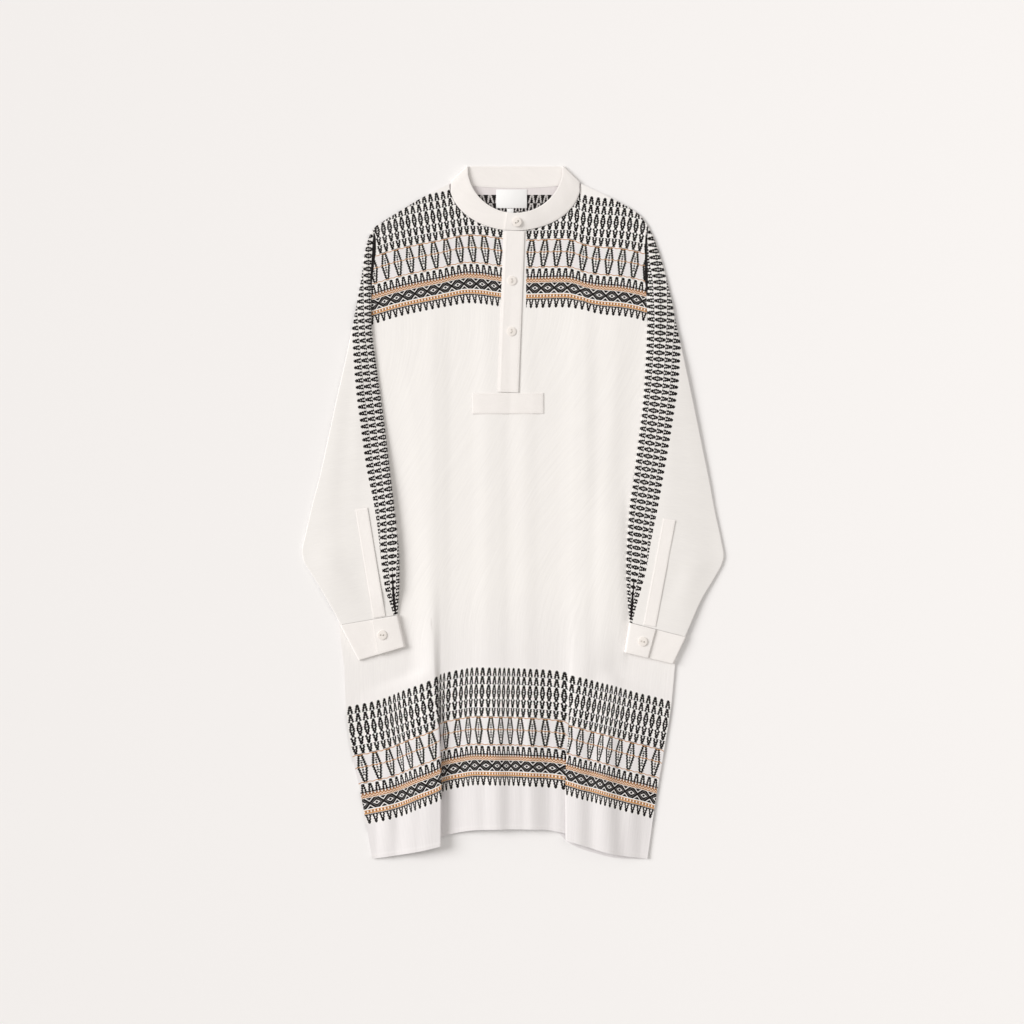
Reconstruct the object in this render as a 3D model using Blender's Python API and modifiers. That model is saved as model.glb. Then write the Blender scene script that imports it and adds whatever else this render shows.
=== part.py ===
"""A long-sleeved tunic dress in a bordered jacquard cloth, laid flat on its back.

X runs across the dress, +Y towards the collar and +Z up from the table it lies on. The origin is at
the middle of the dress, on the table. Tables give millimetres: x from the middle line, and "down"
from the top edge of the collar towards the hem.
"""
import bisect
import math

import bmesh
import bpy

# Driving dimensions, in mm
LENGTH = 969.0
CLOTH = 1.2
BAND_CLOTH = 1.6
SEAM = 0.3
COLLAR_HEIGHT = 31.0
COLLAR_CENTRE = 3.0
NECK_EDGE_RADIUS = 67.0
NECK_SEAM_RADIUS = 92.0
NECK_EDGE_DEPTH = 66.0
NECK_SEAM_DOWN = 24.5
FOLD_TRIM = 1.6
BUTTON_DIAMETER = 13.0
BUTTON_THICKNESS = 2.2
BUTTON_HOLE = 1.7
BUTTON_HOLE_SPACING = 3.4
PLACKET_WIDTH = 27.0
UNDERLAP_WIDTH = 24.0
CROSSBAR_WIDTH = 100.0
CROSSBAR_HEIGHT = 29.0
SLEEVE_PLACKET_WIDTH = 17.5
LABEL_SIZE = (43.0, 26.0, 0.5)
SIZE_TAG_SIZE = (9.0, 8.0, 0.4)

# Heights of what lies on what, in mm above the table
BACK_TOP = CLOTH
FRONT_UNDERSIDE = BACK_TOP + SEAM
FRONT_TOP = FRONT_UNDERSIDE + CLOTH
ON_FRONT = FRONT_TOP + SEAM
BODY_LIFT = 1.2
BODY_LIFT_DOWN = 120.0
REST_FALL = (13.0, 38.0)
ARMHOLE_RISE = (172.0, 202.0)

# Side edges of the body: down, left x, right x
BODY_EDGES = (
    (84, -192, 189),
    (145, -198, 186),
    (219, -198, 188),
    (250, -211, 204),
    (282, -228, 217),
    (355, -237, 224),
    (495, -242, 230),
    (607, -244, 231),
    (663, -241, 230),
    (704, -236, 226),
    (757, -234, 221),
    (807, -228, 213),
    (884, -212, 200),
    (969, -197, 188),
)

# Shoulder seams: x, down
LEFT_SHOULDER = ((-192, 84), (-186, 80), (-161, 64.5), (-127, 44), (-89, 24.5))
RIGHT_SHOULDER = ((95, 24.5), (133, 42.5), (176, 67.5), (189, 84))

# Hems: place across the panel from 0 to 1, down at the front hem, down at the back hem
HEMS = (
    (0.00, 969, 965),
    (0.10, 962, 957),
    (0.18, 955, 949),
    (0.24, 947, 938),
    (0.30, 935, 924),
    (0.40, 928, 922),
    (0.50, 927, 922),
    (0.60, 927.5, 922),
    (0.66, 931, 928),
    (0.72, 940, 948),
    (0.80, 951, 960),
    (0.90, 963, 968),
    (1.00, 969, 969),
)

# Heights of the front's soft folds: place from FOLDS_LEFT to FOLDS_RIGHT, rise on the body, at the hem
FOLDS_LEFT, FOLDS_RIGHT = -205.0, 194.0
FOLDS = (
    (0.00, 0.0, 0.5),
    (0.08, 0.0, 2.0),
    (0.16, 0.8, 4.5),
    (0.222, 2.0, 8.5),
    (0.257, 2.2, 4.7),
    (0.305, 0.4, 1.0),
    (0.36, 1.0, 3.0),
    (0.425, 2.6, 6.0),
    (0.49, 1.2, 2.5),
    (0.56, 2.4, 4.5),
    (0.62, 1.0, 1.5),
    (0.66, 0.8, 2.5),
    (0.697, 1.6, 4.6),
    (0.745, 2.2, 8.0),
    (0.80, 0.9, 3.5),
    (0.86, 1.4, 5.0),
    (0.93, 0.3, 2.0),
    (1.00, 0.0, 0.5),
)

# How strongly each column of FOLDS shows: down, on the body, at the hem
FOLD_STRENGTH = (
    (120, 0.0, 0.0),
    (320, 1.0, 0.0),
    (560, 1.0, 0.0),
    (700, 0.8, 0.35),
    (830, 0.3, 0.8),
    (900, 0.0, 1.0),
    (969, 0.0, 1.0),
)

# The two folds whose flap steps over the cloth beside it: x, hidden cloth, half width
FLAPS = (
    (-102.5, 11.0, 9.0),
    (73.0, 11.0, 9.0),
)
FLAP_START = 690.0
FLAP_FULL = 900.0

# Where the front lies flat under a sleeve: down, left x, right x
QUIET_EDGES = (
    (84, -192, 189),
    (219, -196, 186),
    (331, -178, 176),
    (431, -166, 164),
    (516, -156, 155),
    (600, -152, 152),
    (702, -148, 150),
    (745, -225, 214),
    (790, -230, 216),
    (969, -197, 188),
)
QUIET_MARGIN = 38.0

# Sleeve edges, from the armhole to the cuff: outer x, outer down, inner x, inner down, puff
LEFT_SLEEVE = (
    (-192.0, 84.0, -198.3, 218.0, 0.0),
    (-198.8, 94.0, -198.2, 221.0, 0.4),
    (-205.8, 114.0, -197.7, 225.0, 1.2),
    (-211.8, 155.0, -197.1, 230.0, 1.4),
    (-218.4, 191.0, -196.3, 239.0, 1.8),
    (-224.0, 222.0, -194.6, 251.0, 2.1),
    (-235.2, 275.0, -191.8, 274.0, 2.4),
    (-247.8, 331.0, -184.8, 324.0, 2.4),
    (-259.0, 383.0, -178.5, 372.0, 2.4),
    (-270.2, 433.0, -172.2, 425.0, 2.4),
    (-280.0, 470.0, -166.6, 471.0, 2.4),
    (-289.8, 512.0, -161.3, 516.0, 2.4),
    (-295.4, 538.0, -158.9, 548.0, 2.4),
    (-293.3, 551.0, -158.5, 565.0, 2.4),
    (-280.3, 573.0, -158.6, 582.0, 2.2),
    (-263.2, 601.0, -159.6, 601.0, 1.9),
    (-240.8, 641.2, -161.3, 627.6, 1.2),
)
RIGHT_SLEEVE = (
    (189.0, 84.0, 188.3, 218.0, 0.0),
    (195.3, 97.0, 188.2, 220.0, 0.4),
    (203.0, 117.0, 188.0, 223.0, 1.2),
    (213.5, 152.0, 187.6, 227.0, 1.4),
    (221.9, 187.0, 187.3, 236.0, 1.8),
    (228.9, 223.0, 186.9, 250.0, 2.1),
    (240.8, 276.0, 185.5, 276.0, 2.4),
    (253.4, 335.0, 182.0, 330.0, 2.4),
    (265.3, 393.0, 175.7, 383.0, 2.4),
    (275.1, 440.0, 169.4, 430.0, 2.4),
    (282.8, 482.0, 163.8, 472.0, 2.4),
    (291.2, 520.0, 160.3, 516.0, 2.4),
    (295.4, 544.0, 158.6, 551.0, 2.4),
    (293.3, 555.0, 158.6, 572.0, 2.4),
    (282.8, 575.0, 159.6, 593.0, 2.2),
    (264.6, 605.0, 161.0, 615.0, 1.9),
    (241.2, 658.0, 163.2, 638.1, 1.2),
)
SEAM_SECTIONS = 4.0
SEAM_HOLLOW = 0.3
SLEEVE_HOLLOW = 0.6
SLEEVE_HOLLOW_SECTIONS = 3.0

# Creases across each sleeve: section, place across from the outer edge, length, width, rise
SLEEVE_CREASES = (
    (7.0, 0.55, 2.2, 0.18, 0.9),
    (9.5, 0.30, 2.0, 0.18, -0.8),
    (11.5, 0.62, 1.8, 0.16, 0.9),
    (12.8, 0.25, 1.3, 0.16, 0.9),
    (14.2, 0.50, 1.3, 0.15, -0.8),
)

# Cuffs: outer top, inner top, outer foot, inner foot, overlap top, overlap foot, each as x, down
LEFT_CUFF = {
    "outer": ((-240.9, 641.6), (-215.2, 690.8)),
    "inner": ((-161.4, 628.0), (-151.2, 671.8)),
    "overlap": ((-197.0, 635.8), (-189.4, 681.6)),
}
RIGHT_CUFF = {
    "outer": ((241.3, 658.4), (223.3, 696.0)),
    "inner": ((163.0, 638.5), (156.2, 679.8)),
    "overlap": ((199.4, 647.3), (188.3, 688.4)),
}
CUFF_UNDERLAP = 20.0
CUFF_HOLLOW = 0.5
CUFF_OVERLAP_EASE = 0.4
CUFF_CROWN = 0.5

# Heights of a cuff's layers above what it lies on, to the middle of the band
CUFF_BACK = BAND_CLOTH / 2
CUFF_UNDER = CUFF_BACK + BAND_CLOTH + SEAM + CUFF_HOLLOW
CUFF_OVER = CUFF_UNDER + BAND_CLOTH + SEAM + CUFF_OVERLAP_EASE

# Sleeve plackets: top middle and foot middle, each as x, down
LEFT_SLEEVE_PLACKET = ((-211.8, 479.0), (-186.8, 630.6))
RIGHT_SLEEVE_PLACKET = ((218.4, 494.0), (190.8, 642.6))

# Front placket: middle at the neck seam and at the crossbar, each as x, down
PLACKET = ((2.8, 91.5), (-5.8, 316.5))
UNDERLAP_SHIFT = -4.0
UNDERLAP_DROP = 2.0
CROSSBAR_CENTRE = (-7.3, 332.0)
CROSSBAR_TILT = 0.2
PLACKET_REACH = (-9, -4, 0, 4, 9)
SLEEVE_PLACKET_REACH = (-8, 0, 8)

# Collar: heights of the band's middle above the table, and angles round the neck in degrees
COLLAR_FRONT = 6.6
COLLAR_SIDE_TOP = 4.2
COLLAR_SIDE_FOOT = 3.8
COLLAR_FOLD = 3.6
COLLAR_CROWN = 0.7
COLLAR_LAP = BAND_CLOTH + SEAM
COLLAR_LAP_ANGLES = (55, 80)
COLLAR_OVER_ANGLES = (100, 10)
COLLAR_UNDER_ANGLES = (170, 76)
COLLAR_RISE_SINE = 0.5
COLLAR_BACK_SHARES = (0.04, 0.96)
COLLAR_ROWS = (0.0, 0.33, 0.67, 1.0)

# Buttons: name, x, down, turn of the two holes in degrees
COLLAR_BUTTON = ("button_collar", 5.6, 79.0, 40)
PLACKET_BUTTONS = (
    ("button_front_upper", -1.4, 160.5, 90),
    ("button_front_lower", -2.1, 231.5, 80),
)
CUFF_BUTTONS = (
    ("button_cuff_left", -182.6, 655.6, 0),
    ("button_cuff_right", 181.2, 664.7, -15),
)

BUTTON_GAP = 0.4
BUTTON_REACH = (-6, 0, 6)

# A button's section: radius and height, each as a share of the button's
BUTTON_SECTION = (
    (0.00, 0.00),
    (0.82, 0.00),
    (1.00, 0.35),
    (1.00, 0.72),
    (0.90, 1.00),
    (0.76, 0.98),
    (0.66, 0.72),
    (0.00, 0.66),
)

LABEL_CENTRE = (-2.1, 45.5)
SIZE_TAG_CENTRE = (-3.8, 63.2)

# Mesh steps: columns beside the neck as start, end and number, and round the neck as angles
LEFT_COLUMNS = ((0.0, 0.20, 4), (0.20, 0.27, 6))
RIGHT_COLUMNS = ((0.753, 0.80, 3), (0.80, 1.0, 5))
NECK_ANGLES = (10, 20, 28, 36, 46, 56, 65, 74, 83, 92, 101, 110, 118, 126, 134, 141, 148, 155, 165)
BODY_ROWS = ((0.0, 0.1525, 5), (0.1525, 0.224, 3), (0.224, 1.0, 17))
BACK_ROWS = ((0.0, 0.1525, 5), (0.1525, 0.224, 3), (0.224, 1.0, 8))
BACK_COLUMN_STEP = 2
SLEEVE_SECTIONS = 25
SLEEVE_ACROSS = 8
SLEEVE_EDGE_ANGLES = (30, -30)
SLEEVE_SEARCH_STEPS = 8
PLACKET_STEPS = 16
CROSSBAR_STEPS = 12
SLEEVE_PLACKET_STEPS = 14
STRIP_ACROSS = 3
COLLAR_FRONT_STEPS = 11
COLLAR_BACK_STEPS = 10
FOLD_ANGLES = (60, 20, -20, -60)
CUFF_ROWS = 5
CUFF_OVER_STEPS = 4
CUFF_BACK_STEPS = 9
CUFF_UNDER_STEPS = 5
CUFF_TURN_ANGLES = (60, 30, 0, -30, -60)
CUFF_INNER_TURN_ANGLES = (-50, 0, 50)
BUTTON_STEPS = 16
HOLE_SIDES = 8

CLOTH_COLOUR = (0.86, 0.84, 0.80, 1.0)
BAND_COLOUR = (0.92, 0.90, 0.85, 1.0)
BUTTON_COLOUR = (0.88, 0.84, 0.78, 1.0)
LABEL_COLOUR = (0.93, 0.92, 0.90, 1.0)


def mix(a, b, t):
    return a + (b - a) * t


def ease(low, high, value):
    t = min(max((value - low) / (high - low), 0.0), 1.0)
    return t * t * (3 - 2 * t)


class Curve:
    """A smooth curve through a table's points that never swings past them."""

    def __init__(self, places, values):
        self.places = list(places)
        self.values = list(values)
        steps = list(zip(self.places, self.places[1:], self.values, self.values[1:]))
        rates = [(v1 - v0) / (p1 - p0) for p0, p1, v0, v1 in steps]
        self.slopes = [rates[0]]
        for before, after in zip(rates, rates[1:]):
            level = before * after <= 0
            self.slopes.append(0.0 if level else 2 * before * after / (before + after))
        self.slopes.append(rates[-1])

    def __call__(self, place):
        place = min(max(place, self.places[0]), self.places[-1])
        i = min(max(bisect.bisect_right(self.places, place) - 1, 0), len(self.places) - 2)
        span = self.places[i + 1] - self.places[i]
        t = (place - self.places[i]) / span
        blend = t * t * (3 - 2 * t)
        lean_start = t * (1 - t) ** 2 * self.slopes[i] * span
        lean_end = -t * t * (1 - t) * self.slopes[i + 1] * span
        return mix(self.values[i], self.values[i + 1], blend) + lean_start + lean_end


def curves(table):
    """One curve for each column of a table, over its first column."""
    columns = list(zip(*table))
    return [Curve(columns[0], column) for column in columns[1:]]


left_edge, right_edge = curves(BODY_EDGES)
front_hem, back_hem = curves(HEMS)
fold_on_body, fold_at_hem = curves(FOLDS)
body_strength, hem_strength = curves(FOLD_STRENGTH)
quiet_left, quiet_right = curves(QUIET_EDGES)
left_shoulder, = curves(LEFT_SHOULDER)
right_shoulder, = curves(RIGHT_SHOULDER)


def point(x, down, height):
    """A place on the dress as a point in metres."""
    return (x / 1000, (LENGTH / 2 - down) / 1000, height / 1000)


def neck_seam(x):
    """How far down the front panel's neck edge lies, just outside the collar."""
    across = min(abs(x - COLLAR_CENTRE) / (NECK_SEAM_RADIUS + SEAM), 1.0)
    return NECK_SEAM_DOWN + (NECK_EDGE_DEPTH + SEAM) * math.sqrt(1 - across * across)


def back_neck_seam(x):
    across = min(abs(x - COLLAR_CENTRE) / NECK_SEAM_RADIUS, 1.0)
    return mix(COLLAR_HEIGHT, NECK_SEAM_DOWN, across ** 2)


def top_edge(x, neck):
    """The top of a body panel: a shoulder seam, or the neck seam between the shoulders."""
    if x < COLLAR_CENTRE - NECK_SEAM_RADIUS - SEAM:
        return left_shoulder(x)
    if x > COLLAR_CENTRE + NECK_SEAM_RADIUS + SEAM:
        return right_shoulder(x)
    return neck(x) + SEAM


def body_place(across, along, neck, hem):
    """Where a point of a body panel lies: x and down."""
    x_top = mix(left_edge(0), right_edge(0), across)
    down = mix(top_edge(x_top, neck), hem(across), along)
    left_down = mix(BODY_EDGES[0][0], hem(0), along)
    right_down = mix(BODY_EDGES[0][0], hem(1), along)
    return mix(left_edge(left_down), right_edge(right_down), across), down


def flap_shift(x, across, down):
    """How far the cloth beside the two flap folds moves over or under."""
    strength = ease(FLAP_START, FLAP_FULL, down)
    shift = 0.0
    for flap_x, hidden, half_width in FLAPS:
        step = math.tanh((x - flap_x) / half_width)
        shift -= hidden * strength * (step - (2 * across - 1))
    return shift


def front_height(x, down):
    """Underside of the front panel above the table."""
    quiet = ease(0, QUIET_MARGIN, x - quiet_left(down))
    quiet *= ease(0, QUIET_MARGIN, quiet_right(down) - x)
    place = (x - FOLDS_LEFT) / (FOLDS_RIGHT - FOLDS_LEFT)
    hem_part = fold_at_hem(place) * hem_strength(down)
    body_part = fold_on_body(place) * body_strength(down)
    lift = BODY_LIFT * ease(0, BODY_LIFT_DOWN, down)
    return FRONT_UNDERSIDE + quiet * (lift + body_part + hem_part)


def front_point(across, along):
    x, down = body_place(across, along, neck_seam, front_hem)
    return x + flap_shift(x, across, down), down, front_height(x, down)


def front_top_at(x, down):
    """Top of the front panel at a place that lies clear of the flap folds."""
    return front_height(x, down) + CLOTH


def sleeve_rest(x, down):
    """Top of what a sleeve lies on: the body, or the table beyond the body's edge."""
    outside = max(left_edge(down) - x, x - right_edge(down))
    below_armhole = ease(*ARMHOLE_RISE, down)
    return ON_FRONT * below_armhole * (1 - ease(*REST_FALL, outside))


def stops(segments):
    """Places along a line, given as segments with their own number of steps."""
    places = [segments[0][0]]
    for start, end, count in segments:
        places += [mix(start, end, (i + 1) / count) for i in range(count)]
    return places


def body_columns():
    """Places across a body panel, close together at the neck's corners and at the two flaps."""
    width = right_edge(0) - left_edge(0)
    radius = NECK_SEAM_RADIUS + SEAM
    neck = []
    for degrees in (0, *NECK_ANGLES, 180):
        x = COLLAR_CENTRE - radius * math.cos(math.radians(degrees))
        neck.append((x - left_edge(0)) / width)
    return stops(LEFT_COLUMNS)[:-1] + neck + stops(RIGHT_COLUMNS)[1:]


def material(name, colour, roughness):
    made = bpy.data.materials.new(name)
    made.use_nodes = True
    shader = made.node_tree.nodes["Principled BSDF"]
    shader.inputs["Base Color"].default_value = colour
    shader.inputs["Roughness"].default_value = roughness
    shader.inputs["Metallic"].default_value = 0.0
    made.diffuse_color = colour
    return made


def add_object(name, points, faces, colour, roughness=0.9):
    mesh = bpy.data.meshes.new(name)
    mesh.from_pydata(points, [], faces)
    mesh.materials.append(material(name, colour, roughness))
    made = bpy.data.objects.new(name, mesh)
    dress.objects.link(made)
    mesh.shade_smooth()
    return made


def grid_faces(rows, columns):
    faces = []
    for r in range(rows - 1):
        for c in range(columns - 1):
            corner = r * columns + c
            faces.append((corner, corner + columns, corner + columns + 1, corner + 1))
    return faces


def add_sheet(name, rows, colour, thickness, offset=1.0):
    """A sheet of cloth through rows of places, given its thickness upwards from them."""
    points = [point(*place) for row in rows for place in row]
    made = add_object(name, points, grid_faces(len(rows), len(rows[0])), colour)
    wall = made.modifiers.new("Thickness", "SOLIDIFY")
    wall.thickness = thickness / 1000
    wall.offset = offset
    return made


def add_tube(name, outer, inner, colour):
    """A cloth tube, open at both ends, between matching rings outside and inside."""
    count = len(outer[0])
    points = [point(*place) for ring in outer + inner for place in ring]
    inner_start = len(outer) * count
    faces = []
    for r in range(len(outer) - 1):
        for c in range(count):
            a, b = r * count + c, r * count + (c + 1) % count
            faces.append((a, b, b + count, a + count))
            a, b = a + inner_start, b + inner_start
            faces.append((a + count, b + count, b, a))
    last = (len(outer) - 1) * count
    for c in range(count):
        d = (c + 1) % count
        faces.append((c + inner_start, d + inner_start, d, c))
        faces.append((last + c, last + d, last + d + inner_start, last + c + inner_start))
    made = add_object(name, points, faces, colour)
    turn_outward(made.data)
    return made


def turn_outward(mesh):
    work = bmesh.new()
    work.from_mesh(mesh)
    bmesh.ops.recalc_face_normals(work, faces=work.faces)
    work.to_mesh(mesh)
    work.free()


def add_front():
    columns = body_columns()
    rows = [[front_point(across, along) for across in columns] for along in stops(BODY_ROWS)]
    return add_sheet("front_panel", rows, CLOTH_COLOUR, CLOTH)


def add_back():
    rows = []
    for along in stops(BACK_ROWS):
        columns = body_columns()[::BACK_COLUMN_STEP]
        places = [body_place(across, along, back_neck_seam, back_hem) for across in columns]
        rows.append([(x, down, 0.0) for x, down in places])
    return add_sheet("back_panel", rows, CLOTH_COLOUR, CLOTH)


def collar_front(degrees, lift):
    """The collar's front at an angle round the neck: its upper edge and its foot."""
    angle = math.radians(degrees)
    c, s = math.cos(angle), math.sin(angle)
    near = ease(0, COLLAR_RISE_SINE, s)
    seam_top = front_top_at(COLLAR_CENTRE, NECK_SEAM_DOWN + NECK_EDGE_DEPTH) - CLOTH / 2
    top_x = COLLAR_CENTRE + NECK_EDGE_RADIUS * c
    top = (top_x, NECK_EDGE_DEPTH * s, mix(COLLAR_SIDE_TOP, COLLAR_FRONT, near) + lift)
    foot_x = COLLAR_CENTRE + (NECK_SEAM_RADIUS - SEAM) * c
    foot_down = NECK_SEAM_DOWN + (NECK_EDGE_DEPTH - SEAM) * s
    return top, (foot_x, foot_down, mix(COLLAR_SIDE_FOOT, seam_top, near) + lift)


def collar_back(share):
    """The collar's back, inside out on the table, at a place from right to left."""
    middle = BAND_CLOTH / 2
    top = (COLLAR_CENTRE + NECK_EDGE_RADIUS * (1 - 2 * share), 0.0, middle)
    foot_x = COLLAR_CENTRE + (NECK_SEAM_RADIUS - SEAM) * (1 - 2 * share)
    return top, (foot_x, back_neck_seam(foot_x) - SEAM, middle)


def collar_turn(side, degrees):
    """The fold at one side of the neck, from the front over to the back."""
    angle = math.radians(degrees)
    low = BAND_CLOTH / 2
    radius = (COLLAR_FOLD - low) / 2
    out = radius * math.cos(angle) - radius
    height = low + radius + radius * math.sin(angle)
    slope = math.hypot(NECK_SEAM_RADIUS - NECK_EDGE_RADIUS, NECK_SEAM_DOWN)
    out_x = side * out * NECK_SEAM_DOWN / slope
    out_down = -out * (NECK_SEAM_RADIUS - NECK_EDGE_RADIUS) / slope
    top = (COLLAR_CENTRE + side * NECK_EDGE_RADIUS + out_x, max(out_down, 0.0), height)
    foot_x = COLLAR_CENTRE + side * (NECK_SEAM_RADIUS - FOLD_TRIM) + out_x
    return top, (foot_x, NECK_SEAM_DOWN - FOLD_TRIM + out_down, height)


def add_collar():
    """One band round the neck: over at the front, turned at each side, inside out at the back."""
    stations = []
    for i in range(COLLAR_FRONT_STEPS + 1):
        degrees = mix(*COLLAR_OVER_ANGLES, i / COLLAR_FRONT_STEPS)
        stations.append(collar_front(degrees, COLLAR_LAP * ease(*COLLAR_LAP_ANGLES, degrees)))
    stations += [collar_turn(1, degrees) for degrees in FOLD_ANGLES]
    for i in range(COLLAR_BACK_STEPS + 1):
        stations.append(collar_back(mix(*COLLAR_BACK_SHARES, i / COLLAR_BACK_STEPS)))
    stations += [collar_turn(-1, degrees) for degrees in reversed(FOLD_ANGLES)]
    for i in range(COLLAR_FRONT_STEPS + 1):
        stations.append(collar_front(mix(*COLLAR_UNDER_ANGLES, i / COLLAR_FRONT_STEPS), 0.0))

    rows = []
    for share in COLLAR_ROWS:
        row = []
        for top, foot in stations:
            over = top[2] > COLLAR_FOLD - BAND_CLOTH / 2
            crown = COLLAR_CROWN * math.sin(math.pi * share) * over
            x, down, height = (mix(a, b, share) for a, b in zip(top, foot))
            row.append((x, down, height + crown))
        rows.append(row)
    return add_sheet("collar", rows, BAND_COLOUR, BAND_CLOTH, offset=0.0)


def strip_rows(start, end, width, steps, height_at):
    """Places of a straight strip from its middle line, with a height for each place."""
    along_x, along_down = end[0] - start[0], end[1] - start[1]
    length = math.hypot(along_x, along_down)
    side_x, side_down = along_down / length, -along_x / length
    rows = []
    for i in range(steps + 1):
        t = i / steps
        row = []
        for c in range(STRIP_ACROSS + 1):
            side = (c / STRIP_ACROSS - 0.5) * width
            x = mix(start[0], end[0], t) + side_x * side
            down = mix(start[1], end[1], t) + side_down * side
            row.append((x, down, height_at(x, down)))
        rows.append(row)
    return rows


def placket_height(x, down, layer):
    """Underside of a layer sewn to the middle of the front, 0 next to the panel."""
    highest = max(front_top_at(x + shift, down) for shift in PLACKET_REACH)
    return highest + SEAM + layer * (CLOTH + SEAM)


def add_plackets():
    top, foot = PLACKET
    under_top = (top[0] + UNDERLAP_SHIFT, top[1] + UNDERLAP_DROP)
    under_foot = (foot[0] + UNDERLAP_SHIFT, foot[1])
    under = strip_rows(under_top, under_foot, UNDERLAP_WIDTH, PLACKET_STEPS,
                       lambda x, down: placket_height(x, down, 0))
    add_sheet("placket_underlap", under, BAND_COLOUR, CLOTH)
    over = strip_rows(top, foot, PLACKET_WIDTH, PLACKET_STEPS,
                      lambda x, down: placket_height(x, down, 1))
    add_sheet("placket", over, BAND_COLOUR, CLOTH)
    centre_x, centre_down = CROSSBAR_CENTRE
    start = (centre_x + CROSSBAR_WIDTH / 2, centre_down - CROSSBAR_TILT)
    end = (centre_x - CROSSBAR_WIDTH / 2, centre_down + CROSSBAR_TILT)
    bar = strip_rows(start, end, CROSSBAR_HEIGHT, CROSSBAR_STEPS,
                     lambda x, down: placket_height(x, down, 0))
    add_sheet("placket_crossbar", bar, BAND_COLOUR, CLOTH)


def sleeve_curves(table):
    numbered = [(i, *row) for i, row in enumerate(table)]
    return curves(numbered)


def seam_bow(table, share, section):
    """How far the armhole seam bends away from a straight line, fading along the sleeve."""
    down = mix(table[0][1], table[0][3], share)
    edge = left_edge(down) - SEAM if table[0][0] < 0 else right_edge(down) + SEAM
    straight = mix(table[0][0], table[0][2], share)
    return (edge - straight) * max(0.0, 1 - section / SEAM_SECTIONS)


def sleeve_crease(section, share):
    rise = 0.0
    for at, across, length, width, height in SLEEVE_CREASES:
        away = ((section - at) / length) ** 2 + ((share - across) / width) ** 2
        rise += height * math.exp(-away)
    return rise


def sleeve_hollow(section):
    """The space between a sleeve's two layers at its edges."""
    return mix(SEAM_HOLLOW, SLEEVE_HOLLOW, ease(0, SLEEVE_HOLLOW_SECTIONS, section))


def sleeve_layers(table, edges, section, share):
    """Place and heights of the sleeve's two layers: x, down, underside, top."""
    outer_x, outer_down, inner_x, inner_down, puff = (edge(section) for edge in edges)
    x = mix(outer_x, inner_x, share) + seam_bow(table, share, section)
    down = mix(outer_down, inner_down, share)
    low = sleeve_rest(x, down)
    loft = (puff + sleeve_crease(section, share)) * 4 * share * (1 - share)
    return x, down, low, low + 2 * CLOTH + sleeve_hollow(section) + loft


def sleeve_ring(table, edges, section, inset):
    """One ring round a sleeve: over the top, round the inner edge, back below, round the outer."""
    outer_x, outer_down, inner_x, inner_down, _ = (edge(section) for edge in edges)
    width = math.hypot(inner_x - outer_x, inner_down - outer_down)
    unit_x, unit_down = (inner_x - outer_x) / width, (inner_down - outer_down) / width
    radius = CLOTH + sleeve_hollow(section) / 2
    trim = radius / width
    shares = [mix(trim, 1 - trim, i / SLEEVE_ACROSS) for i in range(SLEEVE_ACROSS + 1)]

    def turn(share, side, angles):
        x, down, low, high = sleeve_layers(table, edges, section, share)
        places = []
        for angle in (math.radians(degrees) for degrees in angles):
            reach = side * (radius - inset) * math.cos(angle)
            rise = ((high - low) / 2 - inset) * math.sin(angle)
            places.append((x + unit_x * reach, down + unit_down * reach, (high + low) / 2 + rise))
        return places

    layers = [sleeve_layers(table, edges, section, share) for share in shares]
    ring = [(x, down, high - inset) for x, down, _, high in layers]
    ring += turn(shares[-1], 1, SLEEVE_EDGE_ANGLES)
    ring += [(x, down, low + inset) for x, down, low, _ in reversed(layers)]
    ring += turn(shares[0], -1, SLEEVE_EDGE_ANGLES[::-1])
    return ring


def add_sleeve(side, table):
    edges = sleeve_curves(table)
    last = len(table) - 1
    sections = [last * i / (SLEEVE_SECTIONS - 1) for i in range(SLEEVE_SECTIONS)]
    outer = [sleeve_ring(table, edges, s, 0.0) for s in sections]
    inner = [sleeve_ring(table, edges, s, CLOTH) for s in sections]
    return add_tube("sleeve_" + side, outer, inner, CLOTH_COLOUR)


def sleeve_top_at(table, x, down):
    """Top of a sleeve at a place, found from the section that crosses it."""
    edges = sleeve_curves(table)
    nearest = None
    for i in range(SLEEVE_SEARCH_STEPS * (len(table) - 1) + 1):
        section = i / SLEEVE_SEARCH_STEPS
        outer_x, outer_down, inner_x, inner_down, _ = (edge(section) for edge in edges)
        share = (x - outer_x) / (inner_x - outer_x)
        miss = abs(mix(outer_down, inner_down, share) - down)
        if nearest is None or miss < nearest[0]:
            nearest = (miss, section, share)
    return sleeve_layers(table, edges, *nearest[1:])[3]


def placket_rest(table, x, down):
    """Underside of a sleeve placket: clear of the sleeve all round the place."""
    near = [(x + i, down + j) for i in SLEEVE_PLACKET_REACH for j in SLEEVE_PLACKET_REACH]
    return SEAM + max(sleeve_top_at(table, *place) for place in near)


def add_sleeve_placket(side, table, ends):
    start, end = ends
    rows = strip_rows(start, end, SLEEVE_PLACKET_WIDTH, SLEEVE_PLACKET_STEPS,
                      lambda x, down: placket_rest(table, x, down))
    return add_sheet("sleeve_placket_" + side, rows, BAND_COLOUR, CLOTH)


def cuff_turn(centre, side, radius, low, angles):
    """Places round one edge of a cuff, as distance along it and height."""
    turned = [math.radians(degrees) for degrees in angles]
    return [(centre + side * radius * math.cos(a), low + radius + radius * math.sin(a)) for a in turned]


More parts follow.
